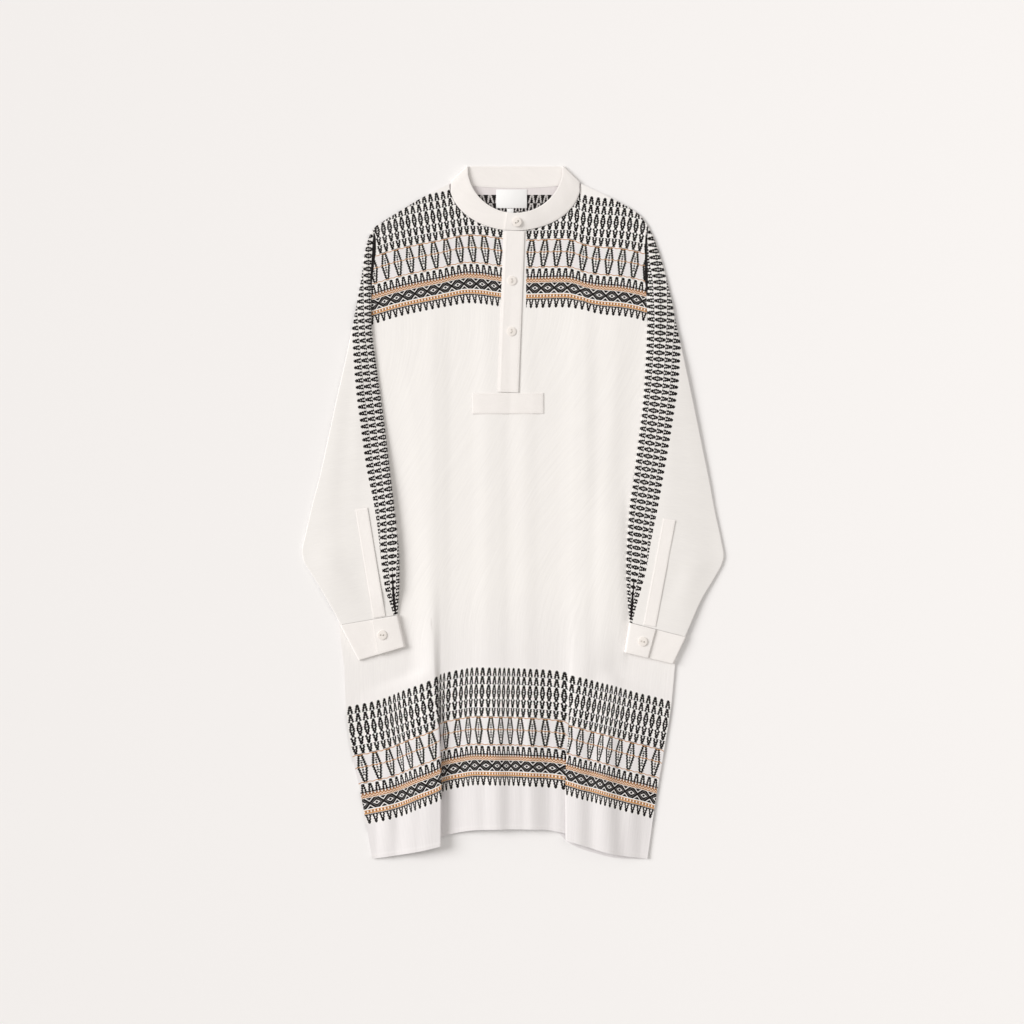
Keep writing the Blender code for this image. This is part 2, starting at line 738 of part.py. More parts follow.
def cuff_path(cuff, share):
    """The cuff band's way round at one height, from its overlap end to its end underneath."""
    outer, inner, overlap = (
        [mix(a, b, share) for a, b in zip(*cuff[name])] for name in ("outer", "inner", "overlap"))
    width = math.hypot(inner[0] - outer[0], inner[1] - outer[1])
    unit = [(b - a) / width for a, b in zip(outer, inner)]
    lap = sum((o - a) * u for o, a, u in zip(overlap, outer, unit))
    path = []
    for i in range(CUFF_OVER_STEPS + 1):
        t = i / CUFF_OVER_STEPS
        height = CUFF_OVER + CUFF_CROWN * math.sin(math.pi * t)
        path.append((mix(lap, width - CUFF_OVER / 2, t), height))
    radius = (CUFF_OVER - CUFF_BACK) / 2
    path += cuff_turn(width - radius, 1, radius, CUFF_BACK, CUFF_TURN_ANGLES)
    for i in range(CUFF_BACK_STEPS + 1):
        path.append((mix(width - radius, radius, i / CUFF_BACK_STEPS), CUFF_BACK))
    radius = (CUFF_UNDER - CUFF_BACK) / 2
    path += cuff_turn(radius, -1, radius, CUFF_BACK, CUFF_INNER_TURN_ANGLES)
    for i in range(CUFF_UNDER_STEPS + 1):
        path.append((mix(radius, lap + CUFF_UNDERLAP, i / CUFF_UNDER_STEPS), CUFF_UNDER))
    places = []
    for along, height in path:
        x, down = outer[0] + unit[0] * along, outer[1] + unit[1] * along
        places.append((x, down, sleeve_rest(x, down) + height))
    return places


def add_cuff(side, cuff):
    rows = [cuff_path(cuff, i / CUFF_ROWS) for i in range(CUFF_ROWS + 1)]
    return add_sheet("cuff_" + side, rows, BAND_COLOUR, BAND_CLOTH, offset=0.0)


def add_button(name, x, down, turn, underside):
    """A two-hole button: a turned disc with a raised rim."""
    radius, thick = BUTTON_DIAMETER / 2000, BUTTON_THICKNESS / 1000
    work = bmesh.new()
    line = [work.verts.new((r * radius, 0.0, h * thick)) for r, h in BUTTON_SECTION]
    edges = [work.edges.new(pair) for pair in zip(line, line[1:])]
    bmesh.ops.spin(work, geom=line + edges, cent=(0, 0, 0), axis=(0, 0, 1), steps=BUTTON_STEPS,
                   angle=math.tau, use_merge=True)
    bmesh.ops.remove_doubles(work, verts=work.verts, dist=1e-6)
    bmesh.ops.recalc_face_normals(work, faces=work.faces)
    mesh = bpy.data.meshes.new(name)
    work.to_mesh(mesh)
    work.free()
    mesh.materials.append(material(name, BUTTON_COLOUR, 0.35))
    mesh.shade_smooth()
    made = bpy.data.objects.new(name, mesh)
    made.location = point(x, down, underside)
    made.rotation_euler.z = math.radians(turn)
    dress.objects.link(made)
    for side in (-1, 1):
        cutter = add_hole_cutter(name, side)
        cutter.parent = made
        hole = made.modifiers.new("Hole", "BOOLEAN")
        hole.object = cutter
    return made


def add_hole_cutter(name, side):
    work = bmesh.new()
    bmesh.ops.create_cone(work, cap_ends=True, segments=HOLE_SIDES, radius1=BUTTON_HOLE / 2000,
                          radius2=BUTTON_HOLE / 2000, depth=3 * BUTTON_THICKNESS / 1000)
    mesh = bpy.data.meshes.new(name + "_hole")
    work.to_mesh(mesh)
    work.free()
    cutter = bpy.data.objects.new(mesh.name, mesh)
    cutter.location = (side * BUTTON_HOLE_SPACING / 2000, 0, BUTTON_THICKNESS / 2000)
    cutter.hide_render = True
    cutter.display_type = "WIRE"
    cutters.objects.link(cutter)
    return cutter


def add_flat_label(name, centre, size, underside, colour):
    bpy.ops.mesh.primitive_cube_add(size=1, location=point(*centre, underside + size[2] / 2))
    made = bpy.context.object
    made.name = made.data.name = name
    made.scale = tuple(s / 1000 for s in size)
    bpy.ops.object.transform_apply(location=False, rotation=False, scale=True)
    made.data.materials.append(material(name, colour, 0.7))
    for holder in list(made.users_collection):
        holder.objects.unlink(made)
    dress.objects.link(made)
    return made


def add_buttons():
    name, x, down, turn = COLLAR_BUTTON
    add_button(name, x, down, turn, COLLAR_FRONT + COLLAR_LAP + BAND_CLOTH / 2 + BUTTON_GAP)
    for name, x, down, turn in PLACKET_BUTTONS:
        near = [(x + i, down + j) for i in BUTTON_REACH for j in BUTTON_REACH]
        add_button(name, x, down, turn, max(placket_height(*place, 2) for place in near))
    for name, x, down, turn in CUFF_BUTTONS:
        cuff_top = CUFF_OVER + CUFF_CROWN + BAND_CLOTH / 2
        add_button(name, x, down, turn, sleeve_rest(x, down) + cuff_top + SEAM)


for old in list(bpy.data.objects):
    bpy.data.objects.remove(old, do_unlink=True)
dress = bpy.data.collections.new("jacquard_dress")
cutters = bpy.data.collections.new("cutters")
bpy.context.scene.collection.children.link(dress)
bpy.context.scene.collection.children.link(cutters)

add_back()
add_front()
add_collar()
add_plackets()
for side_name, sleeve, cuff, placket_ends in (
        ("left", LEFT_SLEEVE, LEFT_CUFF, LEFT_SLEEVE_PLACKET),
        ("right", RIGHT_SLEEVE, RIGHT_CUFF, RIGHT_SLEEVE_PLACKET)):
    add_sleeve(side_name, sleeve)
    add_sleeve_placket(side_name, sleeve, placket_ends)
    add_cuff(side_name, cuff)
add_buttons()
add_flat_label("label", LABEL_CENTRE, LABEL_SIZE, BACK_TOP + SEAM, LABEL_COLOUR)
add_flat_label("size_tag", SIZE_TAG_CENTRE, SIZE_TAG_SIZE, BACK_TOP + SEAM, LABEL_COLOUR)
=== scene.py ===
"""The looks of a jacquard dress that lies flat: thin cloth, woven borders, sewing and buttons.

Tables and places are in mm, as the dress was measured: x from its middle line, and "down" from the
top edge of the collar. A mark is a place on the woven cloth: across it, and down from the upper
edge of its first border.
"""

import bisect
import math

import bmesh
import bpy
import numpy as np
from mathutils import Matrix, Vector


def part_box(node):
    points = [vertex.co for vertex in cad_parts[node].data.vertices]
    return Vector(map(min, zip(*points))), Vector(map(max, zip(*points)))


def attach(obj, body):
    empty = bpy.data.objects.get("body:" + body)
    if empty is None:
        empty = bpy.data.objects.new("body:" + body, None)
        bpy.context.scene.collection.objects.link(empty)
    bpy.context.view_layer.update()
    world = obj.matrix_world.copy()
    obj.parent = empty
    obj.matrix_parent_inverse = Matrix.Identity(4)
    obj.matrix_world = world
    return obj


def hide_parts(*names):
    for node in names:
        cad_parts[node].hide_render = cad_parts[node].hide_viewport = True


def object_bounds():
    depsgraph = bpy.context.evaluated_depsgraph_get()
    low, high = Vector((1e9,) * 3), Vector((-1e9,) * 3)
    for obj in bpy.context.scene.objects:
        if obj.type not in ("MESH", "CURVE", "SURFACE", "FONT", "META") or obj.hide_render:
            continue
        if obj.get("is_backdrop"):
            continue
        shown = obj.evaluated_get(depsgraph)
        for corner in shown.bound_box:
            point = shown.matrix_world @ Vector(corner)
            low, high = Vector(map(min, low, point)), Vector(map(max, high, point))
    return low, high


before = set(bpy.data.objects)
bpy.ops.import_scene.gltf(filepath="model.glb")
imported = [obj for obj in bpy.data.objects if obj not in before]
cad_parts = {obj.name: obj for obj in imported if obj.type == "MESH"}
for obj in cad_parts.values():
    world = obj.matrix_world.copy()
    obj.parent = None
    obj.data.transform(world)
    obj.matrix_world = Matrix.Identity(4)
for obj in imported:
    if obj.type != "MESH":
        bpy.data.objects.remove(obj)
cad_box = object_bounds()

# The dress, as it was cut and laid out
LENGTH = 969.0
CLOTH = 1.2
BAND_CLOTH = 1.6
SEAM = 0.3
COLLAR_HEIGHT = 31.0
COLLAR_CENTRE = 3.0
NECK_EDGE_RADIUS = 67.0
NECK_SEAM_RADIUS = 92.0
NECK_EDGE_DEPTH = 66.0
NECK_SEAM_DOWN = 24.5
FOLD_TRIM = 1.6
BUTTON_DIAMETER = 13.0
BUTTON_THICKNESS = 2.2
PLACKET_WIDTH = 27.0
UNDERLAP_WIDTH = 24.0
CROSSBAR_SIZE = (100.0, 29.0)
SLEEVE_PLACKET_WIDTH = 17.5
NECK_GAP = -0.2
FRONT_UNDERSIDE = CLOTH + SEAM
ON_FRONT = FRONT_UNDERSIDE + CLOTH + SEAM
BODY_LIFT = 1.2
BODY_LIFT_DOWN = 120.0
REST_FALL = (5.0, 60.0)
ARMHOLE_RISE = (172.0, 202.0)

# Side edges of the body: down, left x, right x
BODY_EDGES = (
    (84, -192, 189),
    (145, -198, 186),
    (219, -198, 188),
    (250, -211, 204),
    (282, -228, 217),
    (355, -237, 224),
    (495, -242, 230),
    (607, -244, 231),
    (663, -241, 230),
    (704, -236, 226),
    (757, -234, 221),
    (807, -228, 213),
    (884, -212, 200),
    (969, -197, 188),
)

# Shoulder seams: x, down
LEFT_SHOULDER = ((-192, 84), (-186, 80), (-161, 64.5), (-127, 44), (-89, 24.5))
RIGHT_SHOULDER = ((95, 24.5), (133, 42.5), (176, 67.5), (189, 84))

# Hems: place across the panel from 0 to 1, down at the front hem, down at the back hem
HEMS = (
    (0.00, 969, 965),
    (0.10, 962, 957),
    (0.18, 955, 949),
    (0.24, 947, 938),
    (0.30, 935, 924),
    (0.40, 928, 922),
    (0.50, 927, 922),
    (0.60, 927.5, 922),
    (0.66, 931, 928),
    (0.72, 940, 948),
    (0.80, 951, 960),
    (0.90, 963, 968),
    (1.00, 969, 969),
)

# Heights of the front's soft folds: place from FOLDS_LEFT to FOLDS_RIGHT, rise on the body, at the hem
FOLDS_LEFT, FOLDS_RIGHT = -205.0, 194.0
FOLDS = (
    (0.00, 0.0, 0.5),
    (0.08, 0.0, 2.4),
    (0.12, 0.3, 4.8),
    (0.165, 0.9, 8.4),
    (0.20, 1.6, 10.4),
    (0.2315, 2.2, 10.6),
    (0.262, 1.6, -0.6),
    (0.30, 0.6, -0.4),
    (0.365, 1.0, 1.8),
    (0.425, 2.4, 4.6),
    (0.465, 1.9, 5.4),
    (0.50, 1.1, 4.6),
    (0.556, 2.0, 3.6),
    (0.61, 1.0, 2.0),
    (0.67, 0.8, 1.5),
    (0.702, 1.2, 2.2),
    (0.734, 1.9, 6.2),
    (0.763, 2.1, 7.2),
    (0.81, 0.9, 5.6),
    (0.86, 1.3, 5.8),
    (0.91, 0.5, 3.0),
    (0.95, 0.2, 2.0),
    (1.00, 0.0, 0.5),
)

# How strongly each column of FOLDS shows: down, on the body, at the hem
FOLD_STRENGTH = (
    (120, 0.0, 0.0),
    (320, 0.9, 0.0),
    (560, 0.9, 0.0),
    (700, 0.75, 0.35),
    (830, 0.3, 0.8),
    (900, 0.0, 1.0),
    (969, 0.0, 1.0),
)

# The two folds whose flap steps over the cloth beside it: x, hidden cloth, half width
FLAPS = ((-105.2, 11.0, 9.0), (80.2, 11.0, 9.0))
FLAP_TUCK = 11.6
FLAP_START = 660.0
FLAP_FULL = 880.0

# Where the front lies flat under a sleeve: down, left x, right x
QUIET_EDGES = (
    (84, -192, 189),
    (219, -196, 186),
    (331, -178, 176),
    (431, -166, 164),
    (516, -156, 155),
    (600, -152, 152),
    (702, -148, 150),
    (745, -225, 214),
    (790, -230, 216),
    (969, -197, 188),
)
QUIET_MARGIN = 38.0

# Folds placed one by one on the front: crest x and down at the top and at the foot, reach to the left and
# to the right, rise, and 1 for a crisp right foot or 2 for a soft one
RIDGES = (
    (143.0, 430, 146.0, 720, 44, 15, 2.9, 1),
    (-180.0, 770, -179.0, 1180, 15, 15, 2.0, 2),
    (-151.0, 760, -150.0, 1180, 14, 13, 0.9, 2),
    (-52.0, 740, -46.0, 1180, 20, 16, 1.0, 2),
    (-22.0, 700, -19.0, 1180, 20, 17, 2.2, 2),
    (7.0, 740, 9.0, 1180, 12, 12, 0.7, 2),
    (22.0, 680, 26.0, 1180, 14, 22, 2.6, 2),
    (58.0, 760, 57.0, 1180, 10, 10, 0.8, 2),
    (104.0, 760, 100.0, 1180, 16, 14, 0.9, 2),
    (134.0, 740, 137.0, 1180, 18, 20, 2.4, 2),
    (170.0, 780, 168.0, 1180, 12, 12, 0.8, 2),
)

# Shares of its length over which such a fold comes, and after which it goes
RIDGE_START, RIDGE_FADE = 0.3, 0.75

# How far each row of the woven borders sinks at a place across: chest, hem border, hem edge
ROW_DROPS = (
    (0.00, 33.5, 56.3, 42),
    (0.10, 22.3, 46, 35),
    (0.18, 15.6, 31.7, 28),
    (0.25, 10.5, 19.8, 20),
    (0.30, 5.9, 9.2, 8),
    (0.35, 2.9, 4.2, 3.6),
    (0.40, 3.9, 0.7, 1),
    (0.44, 6.2, 0.9, 0.5),
    (0.50, 9, 1.4, 0),
    (0.57, 9.8, 2.8, 0.3),
    (0.60, 9.6, 3.6, 0.5),
    (0.67, 8.8, 7.2, 4),
    (0.70, 8.7, 12.5, 11),
    (0.72, 9.3, 14.2, 13),
    (0.745, 11.7, 16.6, 16),
    (0.77, 15.7, 20, 18),
    (0.82, 19.2, 25.6, 24),
    (0.90, 21.6, 36.4, 35),
    (0.95, 24.6, 42, 38.3),
    (1.00, 29.3, 48.5, 41),
)
CHEST_BORDER_DOWN = 24.5
HEM_BORDER_DOWN = 700.2

# How many repeats of the weave lie left of a place: on the chest by x, in the hem border by place across
CHEST_REPEATS = ((-260.0, -13.44), (-12.0, 0.51), (15.0, 2.43), (188.0, 11.86), (260.0, 15.78))
HEM_REPEATS = (
    (0.0, 0.48),
    (0.106, 3.0),
    (0.138, 4.0),
    (0.165, 5.0),
    (0.239, 7.0),
    (0.286, 8.0),
    (0.311, 9.0),
    (0.35, 10.0),
    (0.412, 12.0),
    (0.45, 13.0),
    (0.507, 15.0),
    (0.538, 16.0),
    (0.657, 19.0),
    (0.712, 20.0),
    (0.751, 21.0),
    (0.785, 22.0),
    (0.87, 25.0),
    (1.0, 28.5),
)
REPEAT = 18.48

# How far the chest's columns lean: x, mm to the right for each mm down, at the level of the lozenges
CHEST_LEANS = ((-198.0, 0.15), (-60.0, 0.12), (0.0, 0.0), (40.0, -0.085), (110.0, -0.09), (188.0, -0.14))
LOZENGE_DOWN = 119.0

# Sleeve edges, from the armhole to the cuff: outer x, outer down, inner x, inner down, puff
LEFT_SLEEVE = (
    (-192.0, 84.0, -198.3, 218.0, 0.0),
    (-198.8, 94.0, -198.2, 221.0, 0.4),
    (-205.8, 114.0, -197.7, 225.0, 1.2),
    (-211.8, 155.0, -197.1, 230.0, 0.8),
    (-218.4, 191.0, -196.3, 239.0, 0.9),
    (-224.0, 222.0, -194.6, 251.0, 1.0),
    (-235.2, 275.0, -191.8, 274.0, 1.1),
    (-247.8, 331.0, -184.8, 324.0, 1.1),
    (-259.0, 383.0, -178.5, 372.0, 1.1),
    (-270.2, 433.0, -172.2, 425.0, 1.1),
    (-280.0, 470.0, -166.6, 471.0, 1.1),
    (-289.8, 512.0, -161.3, 516.0, 1.1),
    (-295.4, 538.0, -158.9, 548.0, 1.1),
    (-293.3, 551.0, -158.5, 565.0, 1.1),
    (-280.3, 573.0, -158.6, 582.0, 1.1),
    (-263.2, 601.0, -159.6, 601.0, 1.0),
    (-240.8, 641.2, -161.3, 627.6, 1.2),
)
RIGHT_SLEEVE = (
    (189.0, 84.0, 188.3, 218.0, 0.0),
    (195.3, 97.0, 188.2, 220.0, 0.4),
    (203.0, 117.0, 188.0, 223.0, 1.2),
    (213.5, 152.0, 187.6, 227.0, 0.8),
    (221.9, 187.0, 187.3, 236.0, 0.9),
    (228.9, 223.0, 186.9, 250.0, 1.0),
    (240.8, 276.0, 185.5, 276.0, 1.1),
    (253.4, 335.0, 182.0, 330.0, 1.1),
    (265.3, 393.0, 175.7, 383.0, 1.1),
    (275.1, 440.0, 169.4, 430.0, 1.1),
    (282.8, 482.0, 163.8, 472.0, 1.1),
    (291.2, 520.0, 160.3, 516.0, 1.1),
    (295.4, 544.0, 158.6, 551.0, 1.1),
    (293.3, 555.0, 158.6, 572.0, 1.1),
    (282.8, 575.0, 159.6, 593.0, 1.1),
    (264.6, 605.0, 161.0, 615.0, 1.0),
    (241.2, 658.0, 163.2, 638.1, 1.2),
)
SEAM_SECTIONS = 4.0
SEAM_HOLLOW = 0.3
SLEEVE_HOLLOW = 0.6
SLEEVE_HOLLOW_SECTIONS = 3.0

# Creases across each sleeve: section, place across from the outer edge, length, width, rise
SLEEVE_CREASES = (
    (7.0, 0.55, 2.2, 0.18, 0.9),
    (9.5, 0.30, 2.0, 0.18, -0.8),
    (11.5, 0.62, 1.8, 0.16, 0.9),
    (12.8, 0.25, 1.3, 0.16, 0.9),
    (14.2, 0.50, 1.3, 0.15, -0.8),
)

# The left sleeve's rounded inner edge: rise, place across where it begins, sections where it comes and goes
ROLL_RISE, ROLL_FROM = 4.6, 0.55
ROLL_SECTIONS = (7.0, 10.0, 14.2, 16.0)

# The woven border on each sleeve: down, x where it begins to show, its mark there, x of the middle of
# its diamonds or of the underarm seam that cuts them, and the mark there
LEFT_BORDER = (
    (84, -229.0, 0.0, -203.0, 33.25),
    (180, -228.8, 0.0, -200.9, 33.25),
    (229, -225.4, 0.0, -199.4, 33.25),
    (283, -222.0, 0.0, -192.2, 33.25),
    (323, -218.4, 0.0, -187.6, 33.25),
    (360, -213.5, 0.0, -183.0, 33.25),
    (421, -205.1, 0.0, -176.1, 33.25),
    (450, -199.0, 2.5, -172.8, 33.25),
    (472, -194.3, 4.6, -170.0, 33.25),
    (500, -190.0, 6.6, -169.2, 33.25),
    (524, -187.0, 10.0, -168.8, 33.2),
    (545, -185.0, 11.5, -168.5, 31.5),
    (569, -182.0, 12.9, -168.0, 29.5),
    (593, -178.2, 15.4, -167.2, 27.5),
    (612, -171.8, 17.9, -165.6, 24.8),
    (626, -167.4, 20.0, -163.8, 23.6),
    (642, -162.0, 22.0, -160.5, 23.2),
)
RIGHT_BORDER = (
    (84, 236.0, 0.0, 197.0, 33.25),
    (130, 240.0, 0.0, 201.0, 33.25),
    (166, 241.0, 0.0, 205.4, 33.25),
    (211, 238.7, 0.0, 206.4, 33.25),
    (257, 234.6, 0.0, 204.5, 33.25),
    (303, 231.5, 0.0, 201.3, 33.25),
    (349, 224.6, 0.0, 195.7, 33.25),
    (383, 219.2, 0.0, 191.8, 33.25),
    (428, 211.4, 0.0, 185.6, 33.25),
    (475, 203.0, 1.0, 178.6, 33.25),
    (507, 196.4, 4.0, 174.9, 33.25),
    (527, 192.4, 6.5, 173.3, 33.0),
    (563, 186.6, 12.0, 170.9, 31.0),
    (587, 180.5, 14.0, 168.2, 28.5),
    (611, 173.6, 17.5, 166.4, 25.6),
    (638, 166.8, 21.0, 164.6, 23.5),
    (655, 163.0, 22.5, 162.5, 23.2),
)
BORDER_BUNCHING = {"left": 0.08, "right": 0.17}

# Inside edge of the border on the left sleeve, while the cloth past it is bare: down, x
LEFT_BARE = (
    (84, -190),
    (200, -196.5),
    (229, -196.6),
    (283, -190),
    (323, -184.8),
    (360, -179.4),
    (421, -172.6),
    (472, -166),
)
BARE_END = (474.0, 492.0)

# Dark creases where the border bunches at the armholes and into the underarm seams, painted black: partly
# the bunched border, partly painted crease shade: down, x, half width
CREASE_SHADES = (
    ((92, -193.6, 0.0), (103, -193.9, 2.2), (118, -194.4, 2.6),
     (140, -196.6, 2.0), (160, -198.3, 1.5), (176, -198.6, 0.0)),
    ((90, 186.4, 0.0), (104, 186.3, 1.5), (140, 186.4, 2.0),
     (152, 186.4, 2.3), (172, 187.2, 1.3), (184, 187.6, 0.0)),
    ((553, -168.4, 0.0), (580, -167.8, 1.1), (603, -166.6, 1.9), (618, -165.0, 1.6), (628, -163.6, 0.0)),
    ((558, 171.4, 0.0), (585, 168.6, 1.0), (612, 166.4, 1.8), (628, 165.2, 1.5), (638, 164.6, 0.0)),
)

# Cuffs: outer edge, inner edge and overlap edge, each from top to foot as x, down
LEFT_CUFF = {
    "outer": ((-240.9, 641.6), (-215.2, 690.8)),
    "inner": ((-161.4, 628.0), (-151.2, 671.8)),
    "overlap": ((-197.0, 635.8), (-189.4, 681.6)),
}
RIGHT_CUFF = {
    "outer": ((241.3, 658.4), (223.3, 696.0)),
    "inner": ((163.0, 638.5), (156.2, 679.8)),
    "overlap": ((199.4, 647.3), (188.3, 688.4)),
}
CUFF_UNDERLAP = 20.0
CUFF_CROWN = 0.5
CUFF_BACK = BAND_CLOTH / 2
CUFF_AIR = (0.5, 0.4)
CUFF_UNDER = CUFF_BACK + BAND_CLOTH + SEAM + CUFF_AIR[0]
CUFF_OVER = CUFF_UNDER + BAND_CLOTH + SEAM + CUFF_AIR[1]

# Plackets: middle line from top to foot as x, down
LEFT_SLEEVE_PLACKET = ((-211.8, 479.0), (-186.8, 630.6))
RIGHT_SLEEVE_PLACKET = ((218.4, 494.0), (190.8, 642.6))
PLACKET = ((2.8, 90.6), (-5.8, 316.5))
UNDERLAP_SHIFT = -4.0
UNDERLAP_DROP = 2.0
CROSSBAR_CENTRE = (-7.3, 332.0)
CROSSBAR_TILT = 0.2
PLACKET_REACH = (-9, -4, 0, 4, 9)
SLEEVE_PLACKET_REACH = (-8, 0, 8)

# Collar: heights of the band's middle above the table, and angles round the neck in degrees
COLLAR_FRONT = 6.6
COLLAR_SIDE_TOP = 4.2
COLLAR_SIDE_FOOT = 3.8
COLLAR_FOLD = 3.6
COLLAR_CROWN = 0.7
COLLAR_LAP = BAND_CLOTH + SEAM
COLLAR_LAP_ANGLES = (55, 80)
COLLAR_OVER_ANGLES = (100, 10)
COLLAR_UNDER_ANGLES = (170, 76)
COLLAR_RISE_SINE = 0.5
COLLAR_BACK_SHARES = (0.04, 0.96)

# Places round an edge that turns over, in degrees from the edge's own level
TURN_ANGLES = (75, 60, 45, 30, 15, 0, -15, -30, -45, -60, -75)

# Buttons: the node each one replaces, x, down, turn of the two holes in degrees
BUTTONS = (
    ("button_collar", 5.6, 79.0, 40),
    ("button_front_upper", -1.4, 160.5, 90),
    ("button_front_lower", -2.1, 231.5, 80),
    ("button_cuff_left", -182.6, 655.6, 0),
    ("button_cuff_right", 181.2, 664.7, -15),
)


def mix(a, b, t):
    return a + (b - a) * t


def ease(low, high, value):
    t = min(max((value - low) / (high - low), 0.0), 1.0)
    return t * t * (3 - 2 * t)


class Curve:
    """A smooth curve through a table's points that never swings past them."""

    def __init__(self, places, values):
        self.places = list(places)
        self.values = list(values)
        steps = list(zip(self.places, self.places[1:], self.values, self.values[1:]))
        rates = [(v1 - v0) / (p1 - p0) for p0, p1, v0, v1 in steps]
        self.slopes = [rates[0]]
        for before, after in zip(rates, rates[1:]):
            level = before * after <= 0
            self.slopes.append(0.0 if level else 2 * before * after / (before + after))
        self.slopes.append(rates[-1])

    def __call__(self, place):
        place = min(max(place, self.places[0]), self.places[-1])
        i = min(max(bisect.bisect_right(self.places, place) - 1, 0), len(self.places) - 2)
        span = self.places[i + 1] - self.places[i]
        t = (place - self.places[i]) / span
        blend = t * t * (3 - 2 * t)
        lean_start = t * (1 - t) ** 2 * self.slopes[i] * span
        lean_end = -t * t * (1 - t) * self.slopes[i + 1] * span
        return mix(self.values[i], self.values[i + 1], blend) + lean_start + lean_end


def curves(table):
    """One curve for each column of a table, over its first column."""
    columns = list(zip(*table))
    return [Curve(columns[0], column) for column in columns[1:]]


left_edge, right_edge = curves(BODY_EDGES)
front_hem, back_hem = curves(HEMS)
fold_on_body, fold_at_hem = curves(FOLDS)
body_strength, hem_strength = curves(FOLD_STRENGTH)
quiet_left, quiet_right = curves(QUIET_EDGES)
left_shoulder, = curves(LEFT_SHOULDER)
right_shoulder, = curves(RIGHT_SHOULDER)
chest_drop, hem_drop, edge_drop = curves(ROW_DROPS)
hem_repeats, = curves(HEM_REPEATS)
chest_lean, = curves(CHEST_LEANS)


def crease_shade_place(table):
    """Where a stripe of painted crease shade runs and its half width, as a function of the place down."""
    crease_x, half_width = curves(table)

    def place(down):
        inside = table[0][0] < down < table[-1][0]
        return crease_x(down), half_width(down) if inside else -1.0

    return place


crease_shade_places = [crease_shade_place(table) for table in CREASE_SHADES]


def point(x, down, height):
    """A place on the dress as a point in metres."""
    return (x / 1000, (LENGTH / 2 - down) / 1000, height / 1000)


def shares(count):
    """Even places from 0 to 1, that many steps apart."""
    return [i / count for i in range(count + 1)]


def stops(segments):
    """Places along a line, given as segments with their own number of steps."""
    places = [segments[0][0]]
    for start, end, count in segments:
        places += [mix(start, end, (i + 1) / count) for i in range(count)]
    return places


# The body's two panels, on the same form as their solids

def neck_seam(x):
    across = min(abs(x - COLLAR_CENTRE) / (NECK_SEAM_RADIUS + SEAM), 1.0)
    return NECK_SEAM_DOWN + (NECK_EDGE_DEPTH + SEAM) * math.sqrt(1 - across * across)


def back_neck_seam(x):
    across = min(abs(x - COLLAR_CENTRE) / NECK_SEAM_RADIUS, 1.0)
    return mix(COLLAR_HEIGHT, NECK_SEAM_DOWN, across ** 2)


def top_edge(x, neck):
    if x < COLLAR_CENTRE - NECK_SEAM_RADIUS - SEAM:
        return left_shoulder(x)
    if x > COLLAR_CENTRE + NECK_SEAM_RADIUS + SEAM:
        return right_shoulder(x)
    return neck(x) + NECK_GAP


def body_place(across, along, neck, hem):
    x_top = mix(left_edge(0), right_edge(0), across)
    down = mix(top_edge(x_top, neck), hem(across), along)
    left_down = mix(BODY_EDGES[0][0], hem(0), along)
    right_down = mix(BODY_EDGES[0][0], hem(1), along)
    return mix(left_edge(left_down), right_edge(right_down), across), down


def flap_tuck(x, down):
    """How far the edges of the two flap folds are drawn over the cloth beside them."""
    strength = ease(FLAP_START, FLAP_FULL, down)
    tuck = 0.0
    for flap_x, _, half_width in FLAPS:
        away = (x - flap_x) / half_width
        tuck -= FLAP_TUCK * strength * away * math.exp(-away * away)
    return tuck


def flap_shift(x, across, down):
    """How far the cloth beside the two flap folds moves over or under."""
    strength = ease(FLAP_START, FLAP_FULL, down)
    shift = flap_tuck(x, down)
    for flap_x, hidden, half_width in FLAPS:
        shift -= hidden * strength * (math.tanh((x - flap_x) / half_width) - (2 * across - 1))
    return shift


def quiet_at(x, down):
    """0 where the front lies flat under a sleeve, 1 where it is free."""
    return ease(0, QUIET_MARGIN, x - quiet_left(down)) * ease(0, QUIET_MARGIN, quiet_right(down) - x)


def ridge_height(x, down):
    rise = 0.0
    for top_x, top_down, foot_x, foot_down, left, right, height, softness in RIDGES:
        share = (down - top_down) / (foot_down - top_down)
        away = x - mix(top_x, foot_x, share)
        nearness = max(1 - (away / (left if away < 0 else right)) ** 2, 0.0)
        strength = ease(0, RIDGE_START, share) * (1 - ease(RIDGE_FADE, 1.0, share))
        rise += height * strength * nearness ** (2 if away < 0 else softness)
    return rise


def front_height(x, down):
    place = (x - FOLDS_LEFT) / (FOLDS_RIGHT - FOLDS_LEFT)
    hem_part = fold_at_hem(place) * hem_strength(down)
    body_part = fold_on_body(place) * body_strength(down)
    lift = BODY_LIFT * ease(0, BODY_LIFT_DOWN, down)
    return FRONT_UNDERSIDE + quiet_at(x, down) * (lift + body_part + hem_part) + ridge_height(x, down)


def front_top_at(x, down):
    return front_height(x, down) + CLOTH


def sleeve_rest(x, down):
    outside = max(left_edge(down) - x, x - right_edge(down))
    return ON_FRONT * ease(*ARMHOLE_RISE, down) * (1 - ease(*REST_FALL, outside))


# Marks on the cloth

DROP_STEPS = 4
CHEST_END, HEM_START, BORDER_END, EDGE_ROW = 165.0, 640.0, 850.0, 900.0
BACK_BORDER_DROP = 10.0
BACK_CHEST_DROP = 15.4
TILT_REACH = 45
FULL_COVER = 40.0
CHEST_BARE = (-14.0, 18.2)
CHEST_BARE_FOOT = 320.0


def row_drop(across, row):
    """How far a row of the weave sinks at a place across, on the laid-out dress."""
    on_body = mix(chest_drop(across), hem_drop(across), ease(CHEST_END, HEM_START, row))
    return mix(on_body, edge_drop(across), ease(BORDER_END, EDGE_ROW, row))


